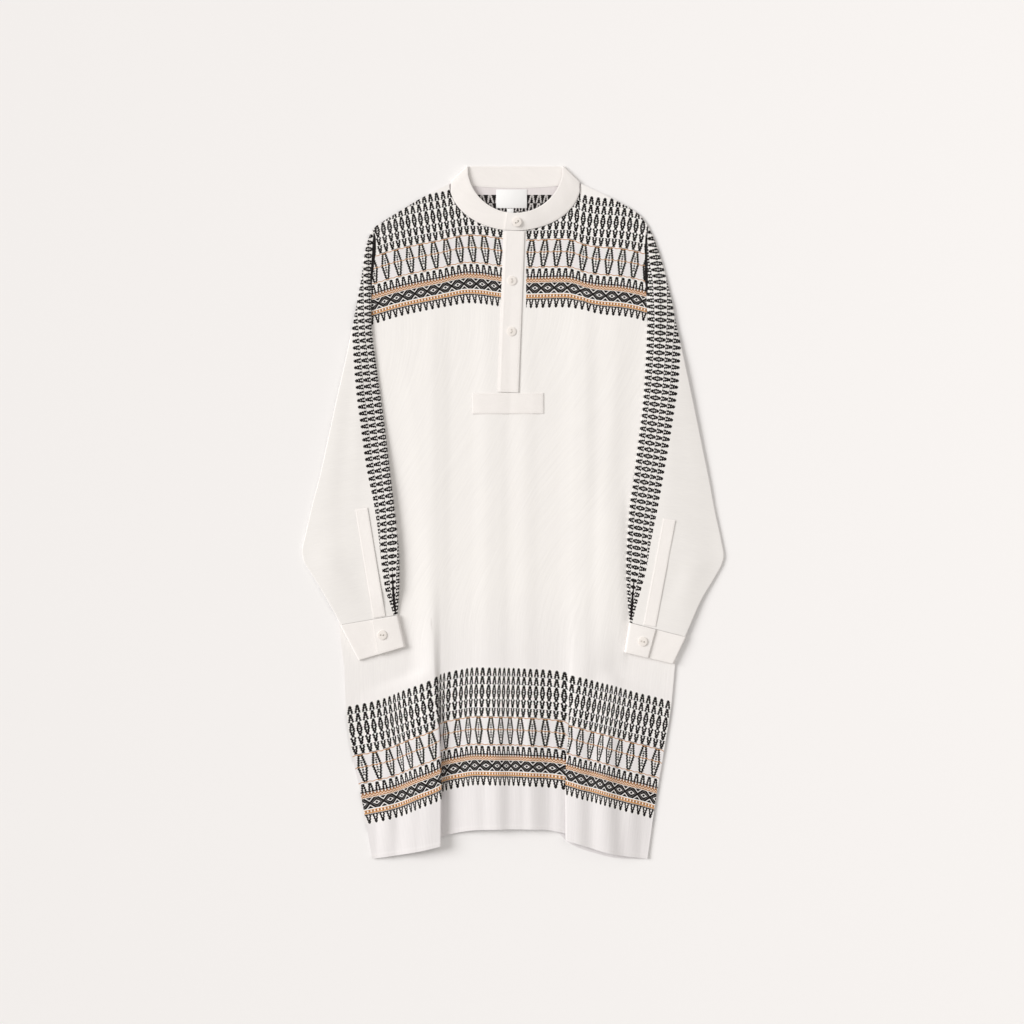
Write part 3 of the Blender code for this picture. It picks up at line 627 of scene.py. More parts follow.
def body_mark(x, across, down):
    """The place on the woven cloth that shows at a place on a body panel."""
    row = down - CHEST_BORDER_DOWN
    for _ in range(DROP_STEPS):
        row = down - CHEST_BORDER_DOWN - row_drop(across, row)
    upright_x = x - chest_lean(x) * (down - LOZENGE_DOWN)
    at_chest = float(np.interp(upright_x, *zip(*CHEST_REPEATS)))
    repeats = mix(at_chest, hem_repeats(across), ease(CHEST_END, HEM_START, row))
    return repeats * REPEAT, row


def sleeve_marks(side, border_table):
    """A function that gives the mark at a place on a sleeve, past its underarm seam mirrored."""
    border, border_mark, seam, seam_mark = curves(border_table)
    out = 1 if side == "right" else -1
    bunching = BORDER_BUNCHING[side]
    downs = np.arange(border_table[0][0], border_table[-1][0] + 1.0)
    edge = np.array([border(down) for down in downs])
    reach = np.ones(2 * TILT_REACH + 1) / (2 * TILT_REACH + 1)
    slopes = np.convolve(np.pad(np.gradient(edge), TILT_REACH, mode="edge"), reach, mode="valid")
    lengths = np.concatenate(([0.0], np.cumsum(np.hypot(1.0, slopes[1:]))))

    def mark(x, down):
        slope = float(np.interp(down, downs, slopes))
        inward = out * (border(down) - x)
        share = (border(down) - x) / (border(down) - seam(down))
        beyond = share > 1
        share = 2 - share if beyond else share
        share -= bunching * share * (1 - share) * (share > 0)
        row = mix(border_mark(down), seam_mark(down), share)
        tilt = math.atan(slope)
        along = float(np.interp(down, downs, lengths)) - out * inward * math.sin(tilt)
        return along, row

    return mark


def sleeve_cover(side, border_table):
    """A function that gives how far a place on a sleeve lies inside the border that shows."""
    border, border_mark, _, _ = curves(border_table)
    bare, = curves(LEFT_BARE)

    def cover(x, down):
        out = 1 if side == "right" else -1
        inside = out * (border(down) - x) if border_mark(down) > 0 else FULL_COVER
        if side == "left":
            inside = min(inside, bare(down) - x + FULL_COVER * ease(*BARE_END, down))
        return inside

    return cover


def in_crease_shade(x, down):
    """How far a place lies inside the stripes of painted crease shade."""
    inside = -FULL_COVER
    for place in crease_shade_places:
        crease_x, half_width = place(down)
        inside = max(inside, half_width - abs(x - crease_x))
    return inside


def measured_marks(rows):
    """Marks of plain cloth: how far along and across it each place lies."""
    marks = []
    for r, row in enumerate(rows):
        along, line = 0.0, []
        for c, place in enumerate(row):
            if c:
                along += math.dist(place, row[c - 1])
            across = marks[-1][c][1] + math.dist(place, rows[r - 1][c]) if r else 0.0
            line.append((along, across))
        marks.append(line)
    return marks


# Meshes

def link(name, mesh):
    made = bpy.data.objects.new(name, mesh)
    bpy.context.scene.collection.objects.link(made)
    return made


def only(obj):
    """Selects one object and makes it the active one."""
    for other in list(bpy.context.selected_objects):
        other.select_set(False)
    obj.select_set(True)
    bpy.context.view_layer.objects.active = obj


def set_marks(mesh, marks, name="weave"):
    """Writes a pair of measures for each point of a mesh as a UV map, in metres."""
    layer = mesh.uv_layers.new(name=name)
    corners = np.empty(len(mesh.loops), dtype=np.int32)
    mesh.loops.foreach_get("vertex_index", corners)
    layer.data.foreach_set("uv", (np.array(marks, dtype=np.float32) / 1000)[corners].ravel())


def apply_modifiers(obj):
    only(obj)
    for modifier in list(obj.modifiers):
        bpy.ops.object.modifier_apply(modifier=modifier.name)


def round_edges(obj, width, steps, degrees):
    """Adds a rounding of the edges that turn by more than an angle."""
    bevel = obj.modifiers.new("Rounded edges", "BEVEL")
    bevel.width = width / 1000
    bevel.segments = steps
    bevel.limit_method = "ANGLE"
    bevel.angle_limit = math.radians(degrees)


def smooth(obj, degrees=40):
    only(obj)
    bpy.ops.object.shade_smooth_by_angle(angle=math.radians(degrees))


def give_finish(obj, finish, degrees):
    obj.data.materials.clear()
    obj.data.materials.append(finish)
    smooth(obj, degrees)


def turn_outward(mesh):
    """Turns the faces of a closed mesh outward."""
    work = bmesh.new()
    work.from_mesh(mesh)
    bmesh.ops.recalc_face_normals(work, faces=work.faces)
    work.to_mesh(mesh)
    work.free()


def grid_faces(rows, columns):
    faces = []
    for r in range(rows - 1):
        for c in range(columns - 1):
            corner = r * columns + c
            faces.append((corner, corner + columns, corner + columns + 1, corner + 1))
    return faces


FOLDED_EDGE_ANGLE, FOLDED_EDGE_STEPS = 60, 2


def cloth_sheet(name, rows, marks, wall, finishes, offset=1.0, edge=0.0, covers=None):
    """A sheet of cloth through rows of places: upper finish first, then the one below."""
    mesh = bpy.data.meshes.new(name)
    mesh.from_pydata([point(*p) for row in rows for p in row], [], grid_faces(len(rows), len(rows[0])))
    set_marks(mesh, [m for row in marks for m in row])
    if covers:
        # The cover map's second measure is where painted crease shade lies.
        set_marks(mesh, [c for row in covers for c in row], "cover")
    for finish in finishes:
        mesh.materials.append(finish)
    made = link(name, mesh)
    thick = made.modifiers.new("Wall", "SOLIDIFY")
    thick.thickness = wall / 1000
    thick.offset = offset
    thick.material_offset = len(finishes) - 1
    if edge:
        round_edges(made, edge, FOLDED_EDGE_STEPS, FOLDED_EDGE_ANGLE)
    apply_modifiers(made)
    smooth(made, 60)
    return made


def cloth_tube(name, outer, inner, marks, covers, finishes):
    """A cloth tube, open at both ends, between matching rings outside and inside."""
    count = len(outer[0])
    inner_start = len(outer) * count
    last = inner_start - count
    faces, inside = [], []
    for r in range(len(outer) - 1):
        for c in range(count):
            a, b = r * count + c, r * count + (c + 1) % count
            faces.append((a, b, b + count, a + count))
            a, b = a + inner_start, b + inner_start
            inside.append((a + count, b + count, b, a))
    rims = []
    for c in range(count):
        d = (c + 1) % count
        rims.append((c + inner_start, d + inner_start, d, c))
        rims.append((last + c, last + d, last + d + inner_start, last + c + inner_start))
    mesh = bpy.data.meshes.new(name)
    mesh.from_pydata([point(*p) for ring in outer + inner for p in ring], [], faces + rims + inside)
    for measures, map_name in ((marks, "weave"), (covers, "cover")):
        flat = [m for ring in measures for m in ring]
        set_marks(mesh, flat + flat, map_name)
    for finish in finishes:
        mesh.materials.append(finish)
    first_inside = len(faces) + len(rims)
    mesh.polygons.foreach_set("material_index", [int(i >= first_inside) for i in range(len(mesh.polygons))])
    turn_outward(mesh)
    made = link(name, mesh)
    smooth(made)
    return made


# Finishes

class Field:
    """A number that varies over the cloth. Sums with it become Math nodes of its material."""

    def __init__(self, tree, socket):
        self.tree = tree
        self.socket = socket

    def do(self, operation, *others):
        made = self.tree.nodes.new("ShaderNodeMath")
        made.operation = operation
        for socket, value in zip(made.inputs, (self, *others)):
            feed(self.tree, socket, value)
        return Field(self.tree, made.outputs[0])

    def __add__(self, other):
        return self.do("ADD", other)

    def __sub__(self, other):
        return self.do("SUBTRACT", other)

    def __mul__(self, other):
        return self.do("MULTIPLY", other)

    def __neg__(self):
        return self.do("MULTIPLY", -1.0)

    def outside(self):
        """1 where this is 0, and 0 where it is 1."""
        return -self + 1.0

    def size(self):
        return self.do("ABSOLUTE")

    def either(self, other):
        return self.do("MAXIMUM", other)

    def under(self, level):
        return self.do("LESS_THAN", level)

    def over(self, level):
        return self.do("GREATER_THAN", level)

    def near(self, place, reach):
        return self.do("COMPARE", place, reach)

    def within(self, low, high):
        return self.near((low + high) / 2, (high - low) / 2)

    def swing(self, half):
        """The distance to the nearest multiple of twice the half pitch."""
        return self.do("PINGPONG", half)

    def swing_share(self, half):
        """The same as a share of the half pitch, from 0 to 1."""
        return self.swing(half) * (1 / half)


def feed(tree, socket, value):
    """Gives a node's socket its value: a Field, another socket, a linear RGB colour or a number."""
    if isinstance(value, Field):
        value = value.socket
    if isinstance(value, bpy.types.NodeSocket):
        tree.links.new(value, socket)
    elif socket.type == "RGBA":
        socket.default_value = (*value, 1.0)
    else:
        socket.default_value = value


def add_node(tree, kind, **fed):
    """A new node of a material, with some of its sockets given their values."""
    made = tree.nodes.new("ShaderNode" + kind)
    for name, value in fed.items():
        feed(tree, made.inputs[name], value)
    return made


SHEEN_ROUGHNESS = 0.4


def new_finish(name, roughness, sheen=0.0, shine=0.3):
    made = bpy.data.materials.new(name)
    made.use_nodes = True
    shader = made.node_tree.nodes["Principled BSDF"]
    shader.inputs["Roughness"].default_value = roughness
    shader.inputs["Specular IOR Level"].default_value = shine
    shader.inputs["Sheen Weight"].default_value = sheen
    shader.inputs["Sheen Roughness"].default_value = SHEEN_ROUGHNESS
    return made, made.node_tree, shader


def blend_colours(tree, share, first, second):
    """A colour between two, by a Field."""
    made = add_node(tree, "Mix")
    made.data_type = "RGBA"
    for name, value in (("Factor", share), ("A", first), ("B", second)):
        feed(tree, made.inputs[name], value)
    return made.outputs["Result"]


def paint(tree, shader, colour, tone):
    """Gives the finish a colour times a Field."""
    made = add_node(tree, "VectorMath")
    made.operation = "SCALE"
    feed(tree, made.inputs[0], colour)
    feed(tree, made.inputs["Scale"], tone)
    feed(tree, shader.inputs["Base Color"], made.outputs[0])


MM_PER_METRE = 1000.0


def mark_fields(tree, name="weave"):
    """The mark at a place as two Fields in mm: across the cloth, and down it."""
    weave = add_node(tree, "UVMap")
    weave.uv_map = name
    parts = add_node(tree, "SeparateXYZ", Vector=weave.outputs["UV"])
    return [Field(tree, parts.outputs[axis]) * MM_PER_METRE for axis in "XY"]


def streaks(tree, across, down, across_size, down_size, detail=2.0):
    """Soft noise on the cloth, with patches of about the given sizes in mm."""
    place = add_node(tree, "CombineXYZ", X=across * (1 / across_size), Y=down * (1 / down_size))
    noise = add_node(tree, "TexNoise", Scale=1.0, Detail=detail, Vector=place.outputs[0])
    return Field(tree, noise.outputs["Fac"])


def add_bump(tree, shader, height, depth):
    """Raises the finish by a Field times a depth in mm."""
    bump = add_node(tree, "Bump", Strength=1.0, Distance=depth / 1000, Height=height)
    feed(tree, shader.inputs["Normal"], bump.outputs["Normal"])


# The woven borders, in mm of cloth: half pitches, widths and rows. A shape's slopes say how steeply
# it closes in, across and down, on a scale where its outline is at 1.

HALF_SMALL = REPEAT / 4
HALF_LARGE = REPEAT / 2
THREAD_DOWN = 0.85
MIDDLE_ROW = 400.0
REVERSE_LINE = 0.68

# Outlines are joined beads: half pitch, lean against the rows, how far the line narrows between beads
BEAD, BEAD_LEAN, BEAD_PINCH = 1.7, 0.5, 0.62

# Rows of small motifs: shape, first row, last row, half width of the tip, width of the line
MOTIF_HALF_WIDTH = 4.3
SMALL_MOTIFS = (
    ("up", 0.0, 11.6, 2.0, 3.55),
    ("up", 11.8, 23.3, 2.0, 3.55),
    ("diamond", 23.5, 43.8, 1.9, 3.55),
    ("down", 44.0, 55.8, 2.0, 3.55),
    ("down", 56.0, 67.8, 2.0, 3.55),
    ("up", 109.2, 121.2, 2.2, 3.3),
    ("down", 151.6, 164.6, 1.7, 3.2),
)
DIAMOND_DOT = (0.6, 1.2)
WHITE_ROWS = ((0.0, 67.8), (109.2, 121.2), (120.8, 151.2), (151.6, 164.6))

# Rows of small black dots: their middles, half height, share of the pitch that is black
DOT_ROWS = (120.7, 152.2)
DOT_HALF_HEIGHT, DOT_SHARE = 0.95, 0.85

# Tall lozenges, with dots down their middles and a short dark cap over each end
LOZENGE_ROWS = (68.4, 107.6)
LOZENGE_MIDDLE = 87.0
LOZENGE_END, LOZENGE_SWELL, LOZENGE_LINE, LOZENGE_PINCH = 3.4, 3.7, 4.0, 0.7
LOZENGE_DOT_REACH, LOZENGE_DOT_WIDTH, LOZENGE_DOT_GAP = 10.5, 1.3, 0.28
CAP_ROWS = (67.9, 108.9)
CAP_HALF_WIDTH, CAP_HALF_HEIGHT, CAP_SHARE = 3.0, 0.55, 0.55

# Thin coloured lines over the lozenges: row, half width
THIN_LINES = ((69.3, 0.6), (86.2, 0.55), (107.3, 0.55))
LINE_WAVE, LINE_SHADE = 1.2, 0.4

# The orange braid: its cream dots and the slope and size of each, its strands and its wavy lower edge
TWILL_ROWS = (121.6, 129.4)
TWILL_DOTS, TWILL_DOT_SLOPE, TWILL_DOT_SIZE = 122.5, 0.55, 0.6
TWILL_LINES = (123.6, 128.6)
BRAID_RISE, BRAID_HALF_PITCH = 2.4, 1.7
BRAID_CREAM, BRAID_DARK, BRAID_SHADE = 1.36, 0.62, 0.9
TWILL_EDGE, TWILL_EDGE_HALF = 129.5, 0.4

# The eyes: rows, outline, thin light cut inside it, white and pupil, and the cross between two eyes
EYE_ROWS = (129.4, 144.0)
EYE_HALF_HEIGHT, EYE_CURVE = 7.3, 0.85
EYE_REACH, EYE_CROSS = 1.22, 1.40
EYE_CUT, EYE_CUT_SHARE = (0.72, 0.79), 0.25
EYE_WHITE, EYE_PUPIL = (1.85, 0.35), (3.9, 0.5)

# The small checker: slopes and sizes of its cream and dark spots, their row, and its darker foot
CHECKER_ROWS = (145.5, 150.9)
CHECKER_MIDDLE, CHECKER_FOOT = 147.7, 150.0
CHECKER_CREAM, CHECKER_DARK = (0.3, 0.52), (0.28, -0.44)
CHECKER_SHADE, CHECKER_FOOT_SHADE = 0.92, 0.55

# Below the hem's border the colour slowly turns greyer, as painted shade of the hem's soft folds: first
# row, length, most
PLAIN_HEM, HEM_SHADE_LENGTH, HEM_SHADE_MOST = 560.0, 260, 0.9

CREPE = (0.855, 0.838, 0.822)
# The grey ground of the lozenge band, also used as painted shade below the hem's border.
GREY_GROUND_AND_HEM_SHADE = (0.765, 0.745, 0.755)
WHITE_FLOAT = (0.81, 0.795, 0.78)
BLACK_THREAD = (0.013, 0.011, 0.011)
ORANGE_THREAD = (0.70, 0.37, 0.15)
SHADOW_THREAD = (0.20, 0.09, 0.045)
REVERSE_GROUND = (0.50, 0.48, 0.47)
# The bare back of the cloth, painted greyer: partly its own thin cloth, partly painted shade of the dress's
# inside.
REVERSE_CREPE_SHADED = (0.74, 0.70, 0.705)
WHITE_SHARE, REVERSE_ORANGE = 0.8, 0.35


def beaded_line(aside, row, edge, width, pinch=BEAD_PINCH):
    """A dark line of joined beads just inside an edge that varies with the row."""
    gap = (row + aside * BEAD_LEAN).swing_share(BEAD)
    return aside.near(edge - width / 2, gap * gap * (-pinch * width / 2) + width / 2)


def small_motif(shape, aside, row, low, high, tip, width):
    """One row of small outlined motifs."""
    middle, height, swell = (low + high) / 2, high - low, MOTIF_HALF_WIDTH - tip
    if shape == "diamond":
        half = (row - middle).size() * (-2 * swell / height) + MOTIF_HALF_WIDTH
    elif shape == "up":
        half = (row - low) * (swell / height) + tip
    else:
        half = (-row + high) * (swell / height) + tip
    outline = beaded_line(aside, row, half, width)
    if shape == "diamond":
        half_width, half_height = DIAMOND_DOT
        outline = outline.either(aside.under(half_width) * row.near(middle, half_height))
    return outline * row.within(low, high)


def eye_mask(large, row):
    """The band of dark eyes with a white cross between each two."""
    aside = (large * (1 / HALF_LARGE)).outside()
    height = (row - sum(EYE_ROWS) / 2).size()
    ring = aside + height * (EYE_CURVE / EYE_HALF_HEIGHT)
    white, pupil = [(aside * a + height * b).under(1.0) for a, b in (EYE_WHITE, EYE_PUPIL)]
    cuts = (ring.within(*EYE_CUT) * EYE_CUT_SHARE).either(white * pupil.outside())
    dark = ring.under(EYE_REACH) * cuts.outside()
    return dark.either(ring.over(EYE_CROSS)) * row.within(*EYE_ROWS)


def lozenge_masks(large, row, line):
    """Where the tall lozenges are black, and where they are white inside."""
    half = (row - LOZENGE_MIDDLE).size() * (-2 * LOZENGE_SWELL / (LOZENGE_ROWS[1] - LOZENGE_ROWS[0]))
    half = half + (LOZENGE_END + LOZENGE_SWELL)
    side = beaded_line(large, row, half, LOZENGE_LINE * line, LOZENGE_PINCH)
    dots = large.under(LOZENGE_DOT_WIDTH) * row.near(LOZENGE_MIDDLE, LOZENGE_DOT_REACH)
    dots = dots * row.swing(BEAD).over(BEAD * LOZENGE_DOT_GAP)
    in_rows = row.within(*LOZENGE_ROWS)
    black = side.either(dots) * in_rows
    for middle in CAP_ROWS:
        cap = large.under(CAP_HALF_WIDTH) * row.near(middle, CAP_HALF_HEIGHT)
        black = black.either(cap * CAP_SHARE)
    return black, in_rows * large.under(half)


def thin_line_mask(across, row):
    """The wavy thin lines that cross the lozenges."""
    wave = across.swing(HALF_SMALL) * (LINE_WAVE / HALF_SMALL)
    lines = [(row + wave).near(middle + LINE_WAVE / 2, half_width) for middle, half_width in THIN_LINES]
    return lines[0].either(lines[1]).either(lines[2])


def braid_masks(dot, row):
    """Where the braid is orange, and where its strands are dark."""
    inside = row.within(*TWILL_ROWS)
    white_dots = (dot + (row - TWILL_DOTS).size() * TWILL_DOT_SLOPE).under(TWILL_DOT_SIZE)
    edge = (row + dot).near(TWILL_EDGE, TWILL_EDGE_HALF)
    braid = (row + dot * BRAID_RISE).swing(BRAID_HALF_PITCH)
    cream = (braid.over(BRAID_CREAM) * row.over(TWILL_LINES[0])).either(white_dots)
    lines = braid.under(BRAID_DARK) * row.within(*TWILL_LINES)
    between = row.under(TWILL_LINES[0]) * white_dots.outside()
    return inside * edge.outside() * cream.outside(), inside * lines.either(between) * BRAID_SHADE


def checker_masks(dot, row):
    """Where the small checker is orange, and where it is dark."""
    inside = row.within(*CHECKER_ROWS)
    level = (row - CHECKER_MIDDLE).size()
    cream_slope, cream_size = CHECKER_CREAM
    dark_slope, dark_size = CHECKER_DARK
    cream = (dot + level * cream_slope).under(cream_size)
    dark = (-dot + level * dark_slope).under(dark_size) * CHECKER_SHADE
    foot = row.over(CHECKER_FOOT) * CHECKER_FOOT_SHADE
    return inside * cream.outside(), inside * dark.either(foot)


def border_masks(across, down, line=1.0):
    """Where the threads show black, orange, dark, white and grey, each as a Field from 0 to 1. The grey
    also holds painted shade that darkens the cloth towards the hem.
    """
    row = down - down.over(MIDDLE_ROW) * (HEM_BORDER_DOWN - CHEST_BORDER_DOWN)
    small = (across + HALF_SMALL).swing(HALF_SMALL)
    large = across.swing(HALF_LARGE)
    dot = across.swing_share(HALF_SMALL / 2)
    third = across.swing_share(HALF_SMALL / 3)

    black, white = lozenge_masks(large, row, line)
    black = black.either(eye_mask(large, row))
    for shape, low, high, tip, width in SMALL_MOTIFS:
        black = black.either(small_motif(shape, small, row, low, high, tip, width * line))
    for middle in DOT_ROWS:
        black = black.either(row.near(middle, DOT_HALF_HEIGHT) * third.under(DOT_SHARE))

    orange = thin_line_mask(across, row)
    shade = orange * LINE_SHADE
    for coloured, dark in (braid_masks(dot, row), checker_masks(dot, row)):
        orange = orange.either(coloured)
        shade = shade.either(dark)
    black = black * orange.outside()

    for rows in WHITE_ROWS:
        white = white.either(row.within(*rows))
    grey = row.within(THIN_LINES[0][0], THIN_LINES[2][0]) * white.outside()
    # Painted shade: the plain cloth greys further down, towards the hem.
    grey = grey.either(((down - PLAIN_HEM) * (1 / HEM_SHADE_LENGTH)).do("MINIMUM", HEM_SHADE_MOST))
    return black, orange, shade, white, grey


# Streaks of the dress cloth: size across and down, share of the tone, rise
FINE_STREAK, FINE_TONE, FINE_RISE = (0.9, 22.0), 0.09, 0.9
SLUB_STREAK, SLUB_TONE, SLUB_RISE = (2.6, 160.0), 0.08, 1.2
BROAD_STREAK, BROAD_TONE = (14.0, 120.0), 0.05
THREAD_TONE, THREAD_RISE = 0.04, 0.15
FLOAT_RISE, FLOAT_THREAD_RISE = 0.5, 0.6
WOVEN_TONE, WOVEN_DEPTH = 0.93, 0.12


def woven_finish(name, reverse=False, level=1.0, slubs=1.0):
    """The dress cloth: pale streaky crepe with its woven borders, or the back of that cloth."""
    made, tree, shader = new_finish(name, 0.8, shine=0.1)
    across, down = mark_fields(tree)
    inside, crease_shade = mark_fields(tree, "cover")
    black, orange, shade, white, grey = border_masks(across, down, REVERSE_LINE if reverse else 1.0)
    shows = inside.over(0.0)
    if reverse:
        black = black.either(orange).outside() * white
        orange = orange * REVERSE_ORANGE
    # The armhole and underarm creases are painted black: painted crease shade, partly the border bunched
    # there.
    black = (black * shows).either(crease_shade.over(0.0))

    fine = streaks(tree, across, down, *FINE_STREAK)
    broad = streaks(tree, across, down, *BROAD_STREAK, detail=3.0)
    slub = streaks(tree, across, down, *SLUB_STREAK) * slubs
    threads = down.swing_share(THREAD_DOWN / 2)
    plain_tone = WOVEN_TONE - slubs * SLUB_TONE / 2
    tone = fine * FINE_TONE + slub * SLUB_TONE + broad * BROAD_TONE + plain_tone

    colour = blend_colours(tree, grey * shows, REVERSE_CREPE_SHADED if reverse else CREPE, GREY_GROUND_AND_HEM_SHADE)
    for share, thread in (
        (white * shows * WHITE_SHARE, REVERSE_GROUND if reverse else WHITE_FLOAT),
        (orange * shows, ORANGE_THREAD),
        (shade * shows, SHADOW_THREAD),
        (black, BLACK_THREAD),
    ):
        colour = blend_colours(tree, share, colour, thread)
    # A level under 1 paints the whole cloth darker, used on the sleeves partly as painted shade.
    paint(tree, shader, colour, tone * level + threads * THREAD_TONE)

    floats = black.either(orange * shows) * (threads * FLOAT_THREAD_RISE + FLOAT_RISE)
    relief = floats + fine * FINE_RISE + slub * SLUB_RISE + threads * THREAD_RISE
    add_bump(tree, shader, relief, WOVEN_DEPTH)
    return made


# Streaks and threads of the plain bands, in the same way
BAND_FINE, BAND_BROAD = (0.8, 9.0), (16.0, 30.0)
BAND_STREAK_TONE, BAND_THREAD_TONE, BAND_TONE = 0.06, 0.03, 0.925
BAND_FINE_RISE, BAND_THREAD_RISE, BAND_DEPTH = 0.8, 0.3, 0.08


def plain_finish(name, colour, roughness, sheen, thread=0.35):
    """Plain woven cloth, doubled and opaque: bands, seams and tapes."""
    made, tree, shader = new_finish(name, roughness, sheen)
    across, down = mark_fields(tree)
    fine = streaks(tree, across, down, *BAND_FINE)
    broad = streaks(tree, across, down, *BAND_BROAD, detail=3.0)
    weft, warp = down.swing_share(thread / 2), across.swing_share(thread / 2)
    paint(tree, shader, colour, (fine + broad) * BAND_STREAK_TONE + weft * BAND_THREAD_TONE + BAND_TONE)
    add_bump(tree, shader, fine * BAND_FINE_RISE + (weft + warp) * BAND_THREAD_RISE, BAND_DEPTH)
    return made


def grained_finish(name, colour, second, roughness, scale):
    """A hard or sewn finish that drifts between two colours, on Object coordinates."""
    made, tree, shader = new_finish(name, roughness)
    place = add_node(tree, "TexCoord")
    noise = add_node(tree, "TexNoise", Scale=scale, Detail=3.0, Vector=place.outputs["Object"])
    drift = Field(tree, noise.outputs["Fac"])
    feed(tree, shader.inputs["Base Color"], blend_colours(tree, drift, colour, second))
    return made


BAND_COLOUR = (0.878, 0.85, 0.832)
TAPE_COLOUR = (0.90, 0.905, 0.91)

woven = woven_finish("woven_cloth")
woven_back = woven_finish("woven_cloth_reverse", reverse=True)
# The sleeves' cloth is a copy painted 5.5% darker: partly their greyer sheer cloth, partly painted shade.
woven_sleeve_shaded = woven_finish("woven_cloth_sleeve_shaded", level=0.945, slubs=0.0)
band = plain_finish("band_cloth", BAND_COLOUR, 0.75, 0.1)
tape = plain_finish("label_tape", TAPE_COLOUR, 0.45, 0.2, thread=0.5)
sewing = grained_finish("sewing_thread", (0.86, 0.84, 0.80), (0.78, 0.75, 0.70), 0.6, 900.0)
shell = grained_finish("button_shell", (0.87, 0.835, 0.80), (0.82, 0.77, 0.73), 0.35, 260.0)
table = grained_finish("pale_table", (0.886, 0.879, 0.882), (0.882, 0.875, 0.878), 0.9, 3.0)


# The woven pieces

WALL = 0.7
HEM_FOLD, HEM_STEP, HEM_RISE = 5.0, 0.8, 0.35
HEM_WIDTH = 430.0
LEFT_COLUMNS = ((0.0, 0.05, 18), (0.05, 0.20, 26), (0.20, 0.27, 22))
RIGHT_COLUMNS = ((0.754, 0.95, 36), (0.95, 1.0, 18))
NECK_STEP = 1.5
BACK_COARSER = 3
BODY_ROWS = ((0.0, 0.98, 150), (0.98, 1.0, 12))
BACK_ROWS = ((0.0, 0.1, 24), (0.1, 1.0, 60))


def body_columns(neck_step):
    """Places across a body panel, with the neck's own columns in its middle."""
    width = right_edge(0) - left_edge(0)
    radius = NECK_SEAM_RADIUS + SEAM
    neck = []
    for i in range(round(180 / neck_step) + 1):
        x = COLLAR_CENTRE - radius * math.cos(math.radians(i * neck_step))
        neck.append((x - left_edge(0)) / width)
    return stops(LEFT_COLUMNS)[:-1] + neck + stops(RIGHT_COLUMNS)[1:]


def front_cover(x, down):
    """How far a place on the front lies inside the border that shows, and inside an armhole's painted
    crease shade.
    """
    beside = max(CHEST_BARE[0] - x, x - CHEST_BARE[1]) if down < CHEST_BARE_FOOT else FULL_COVER
    return beside, in_crease_shade(x, down)


def front_place(across, along):
    """A place on the front, the mark that shows there, and its cover."""
    x, down = body_place(across, along, neck_seam, front_hem)
    hem = HEM_RISE * ease(-HEM_FOLD - HEM_STEP, -HEM_FOLD, down - front_hem(across))
    height = front_height(x, down) + CLOTH - WALL + hem
    mark = body_mark(x, across + flap_tuck(x, down) / HEM_WIDTH, down)
    shown_x = x + flap_shift(x, across, down)
    return (shown_x, down, height), mark, front_cover(shown_x, down)


def back_place(across, along):
    """The same on the back, whose border shows everywhere."""
    x, down = body_place(across, along, back_neck_seam, back_hem)
    chest = BACK_CHEST_DROP - chest_drop(across)
    drop = mix(chest, BACK_BORDER_DROP, ease(CHEST_END, HEM_START, down))
    return (x, down, 0.0), body_mark(x, across, down - drop), (FULL_COVER, -FULL_COVER)


def make_panel(name, columns, lengthwise, place_at, wall, finishes):
    rows, marks, covers = [], [], []
    for along in lengthwise:
        row, line, cover = zip(*[place_at(across, along) for across in columns])
        rows.append(row)
        marks.append(line)
        covers.append(cover)
    return cloth_sheet(name, rows, marks, wall, finishes, covers=covers)


def make_back():
    columns = body_columns(NECK_STEP * BACK_COARSER)[::2]
    return make_panel("back_cloth", columns, stops(BACK_ROWS), back_place, CLOTH, (woven_back, woven))


def make_front():
    columns = body_columns(NECK_STEP)
    return make_panel("front_cloth", columns, stops(BODY_ROWS), front_place, WALL, (woven, woven_back))


def seam_bow(table, share, section):
    down = mix(table[0][1], table[0][3], share)
    edge = left_edge(down) - SEAM if table[0][0] < 0 else right_edge(down) + SEAM
    straight = mix(table[0][0], table[0][2], share)
    return (edge - straight) * max(0.0, 1 - section / SEAM_SECTIONS)


def sleeve_crease(section, share):
    rise = 0.0
    for at, across, length, width, height in SLEEVE_CREASES:
        away = ((section - at) / length) ** 2 + ((share - across) / width) ** 2
        rise += height * math.exp(-away)
    return rise


def edge_roll(table, section, share):
    """The rounded inner edge of the left sleeve, which stands up and shades the body beside it."""
    if table is not LEFT_SLEEVE:
        return 0.0
    along = ease(*ROLL_SECTIONS[:2], section) * (1 - ease(*ROLL_SECTIONS[2:], section))
    return ROLL_RISE * along * ease(ROLL_FROM, 1.0, share)


def sleeve_hollow(section):
    return mix(SEAM_HOLLOW, SLEEVE_HOLLOW, ease(0, SLEEVE_HOLLOW_SECTIONS, section))


def sleeve_layers(table, edges, section, share):
    """Place and heights of the sleeve's two layers: x, down, underside, top."""
    outer_x, outer_down, inner_x, inner_down, puff = (edge(section) for edge in edges)
    x = mix(outer_x, inner_x, share) + seam_bow(table, share, section)
    down = mix(outer_down, inner_down, share)
    low = sleeve_rest(x, down)
    loft = (puff + sleeve_crease(section, share)) * 4 * share * (1 - share)
    return x, down, low, low + 2 * CLOTH + sleeve_hollow(section) + loft + edge_roll(table, section, share)


SLEEVE_ACROSS = 46
SLEEVE_SECTIONS = 160
SLEEVE_SEARCH_STEPS = 8


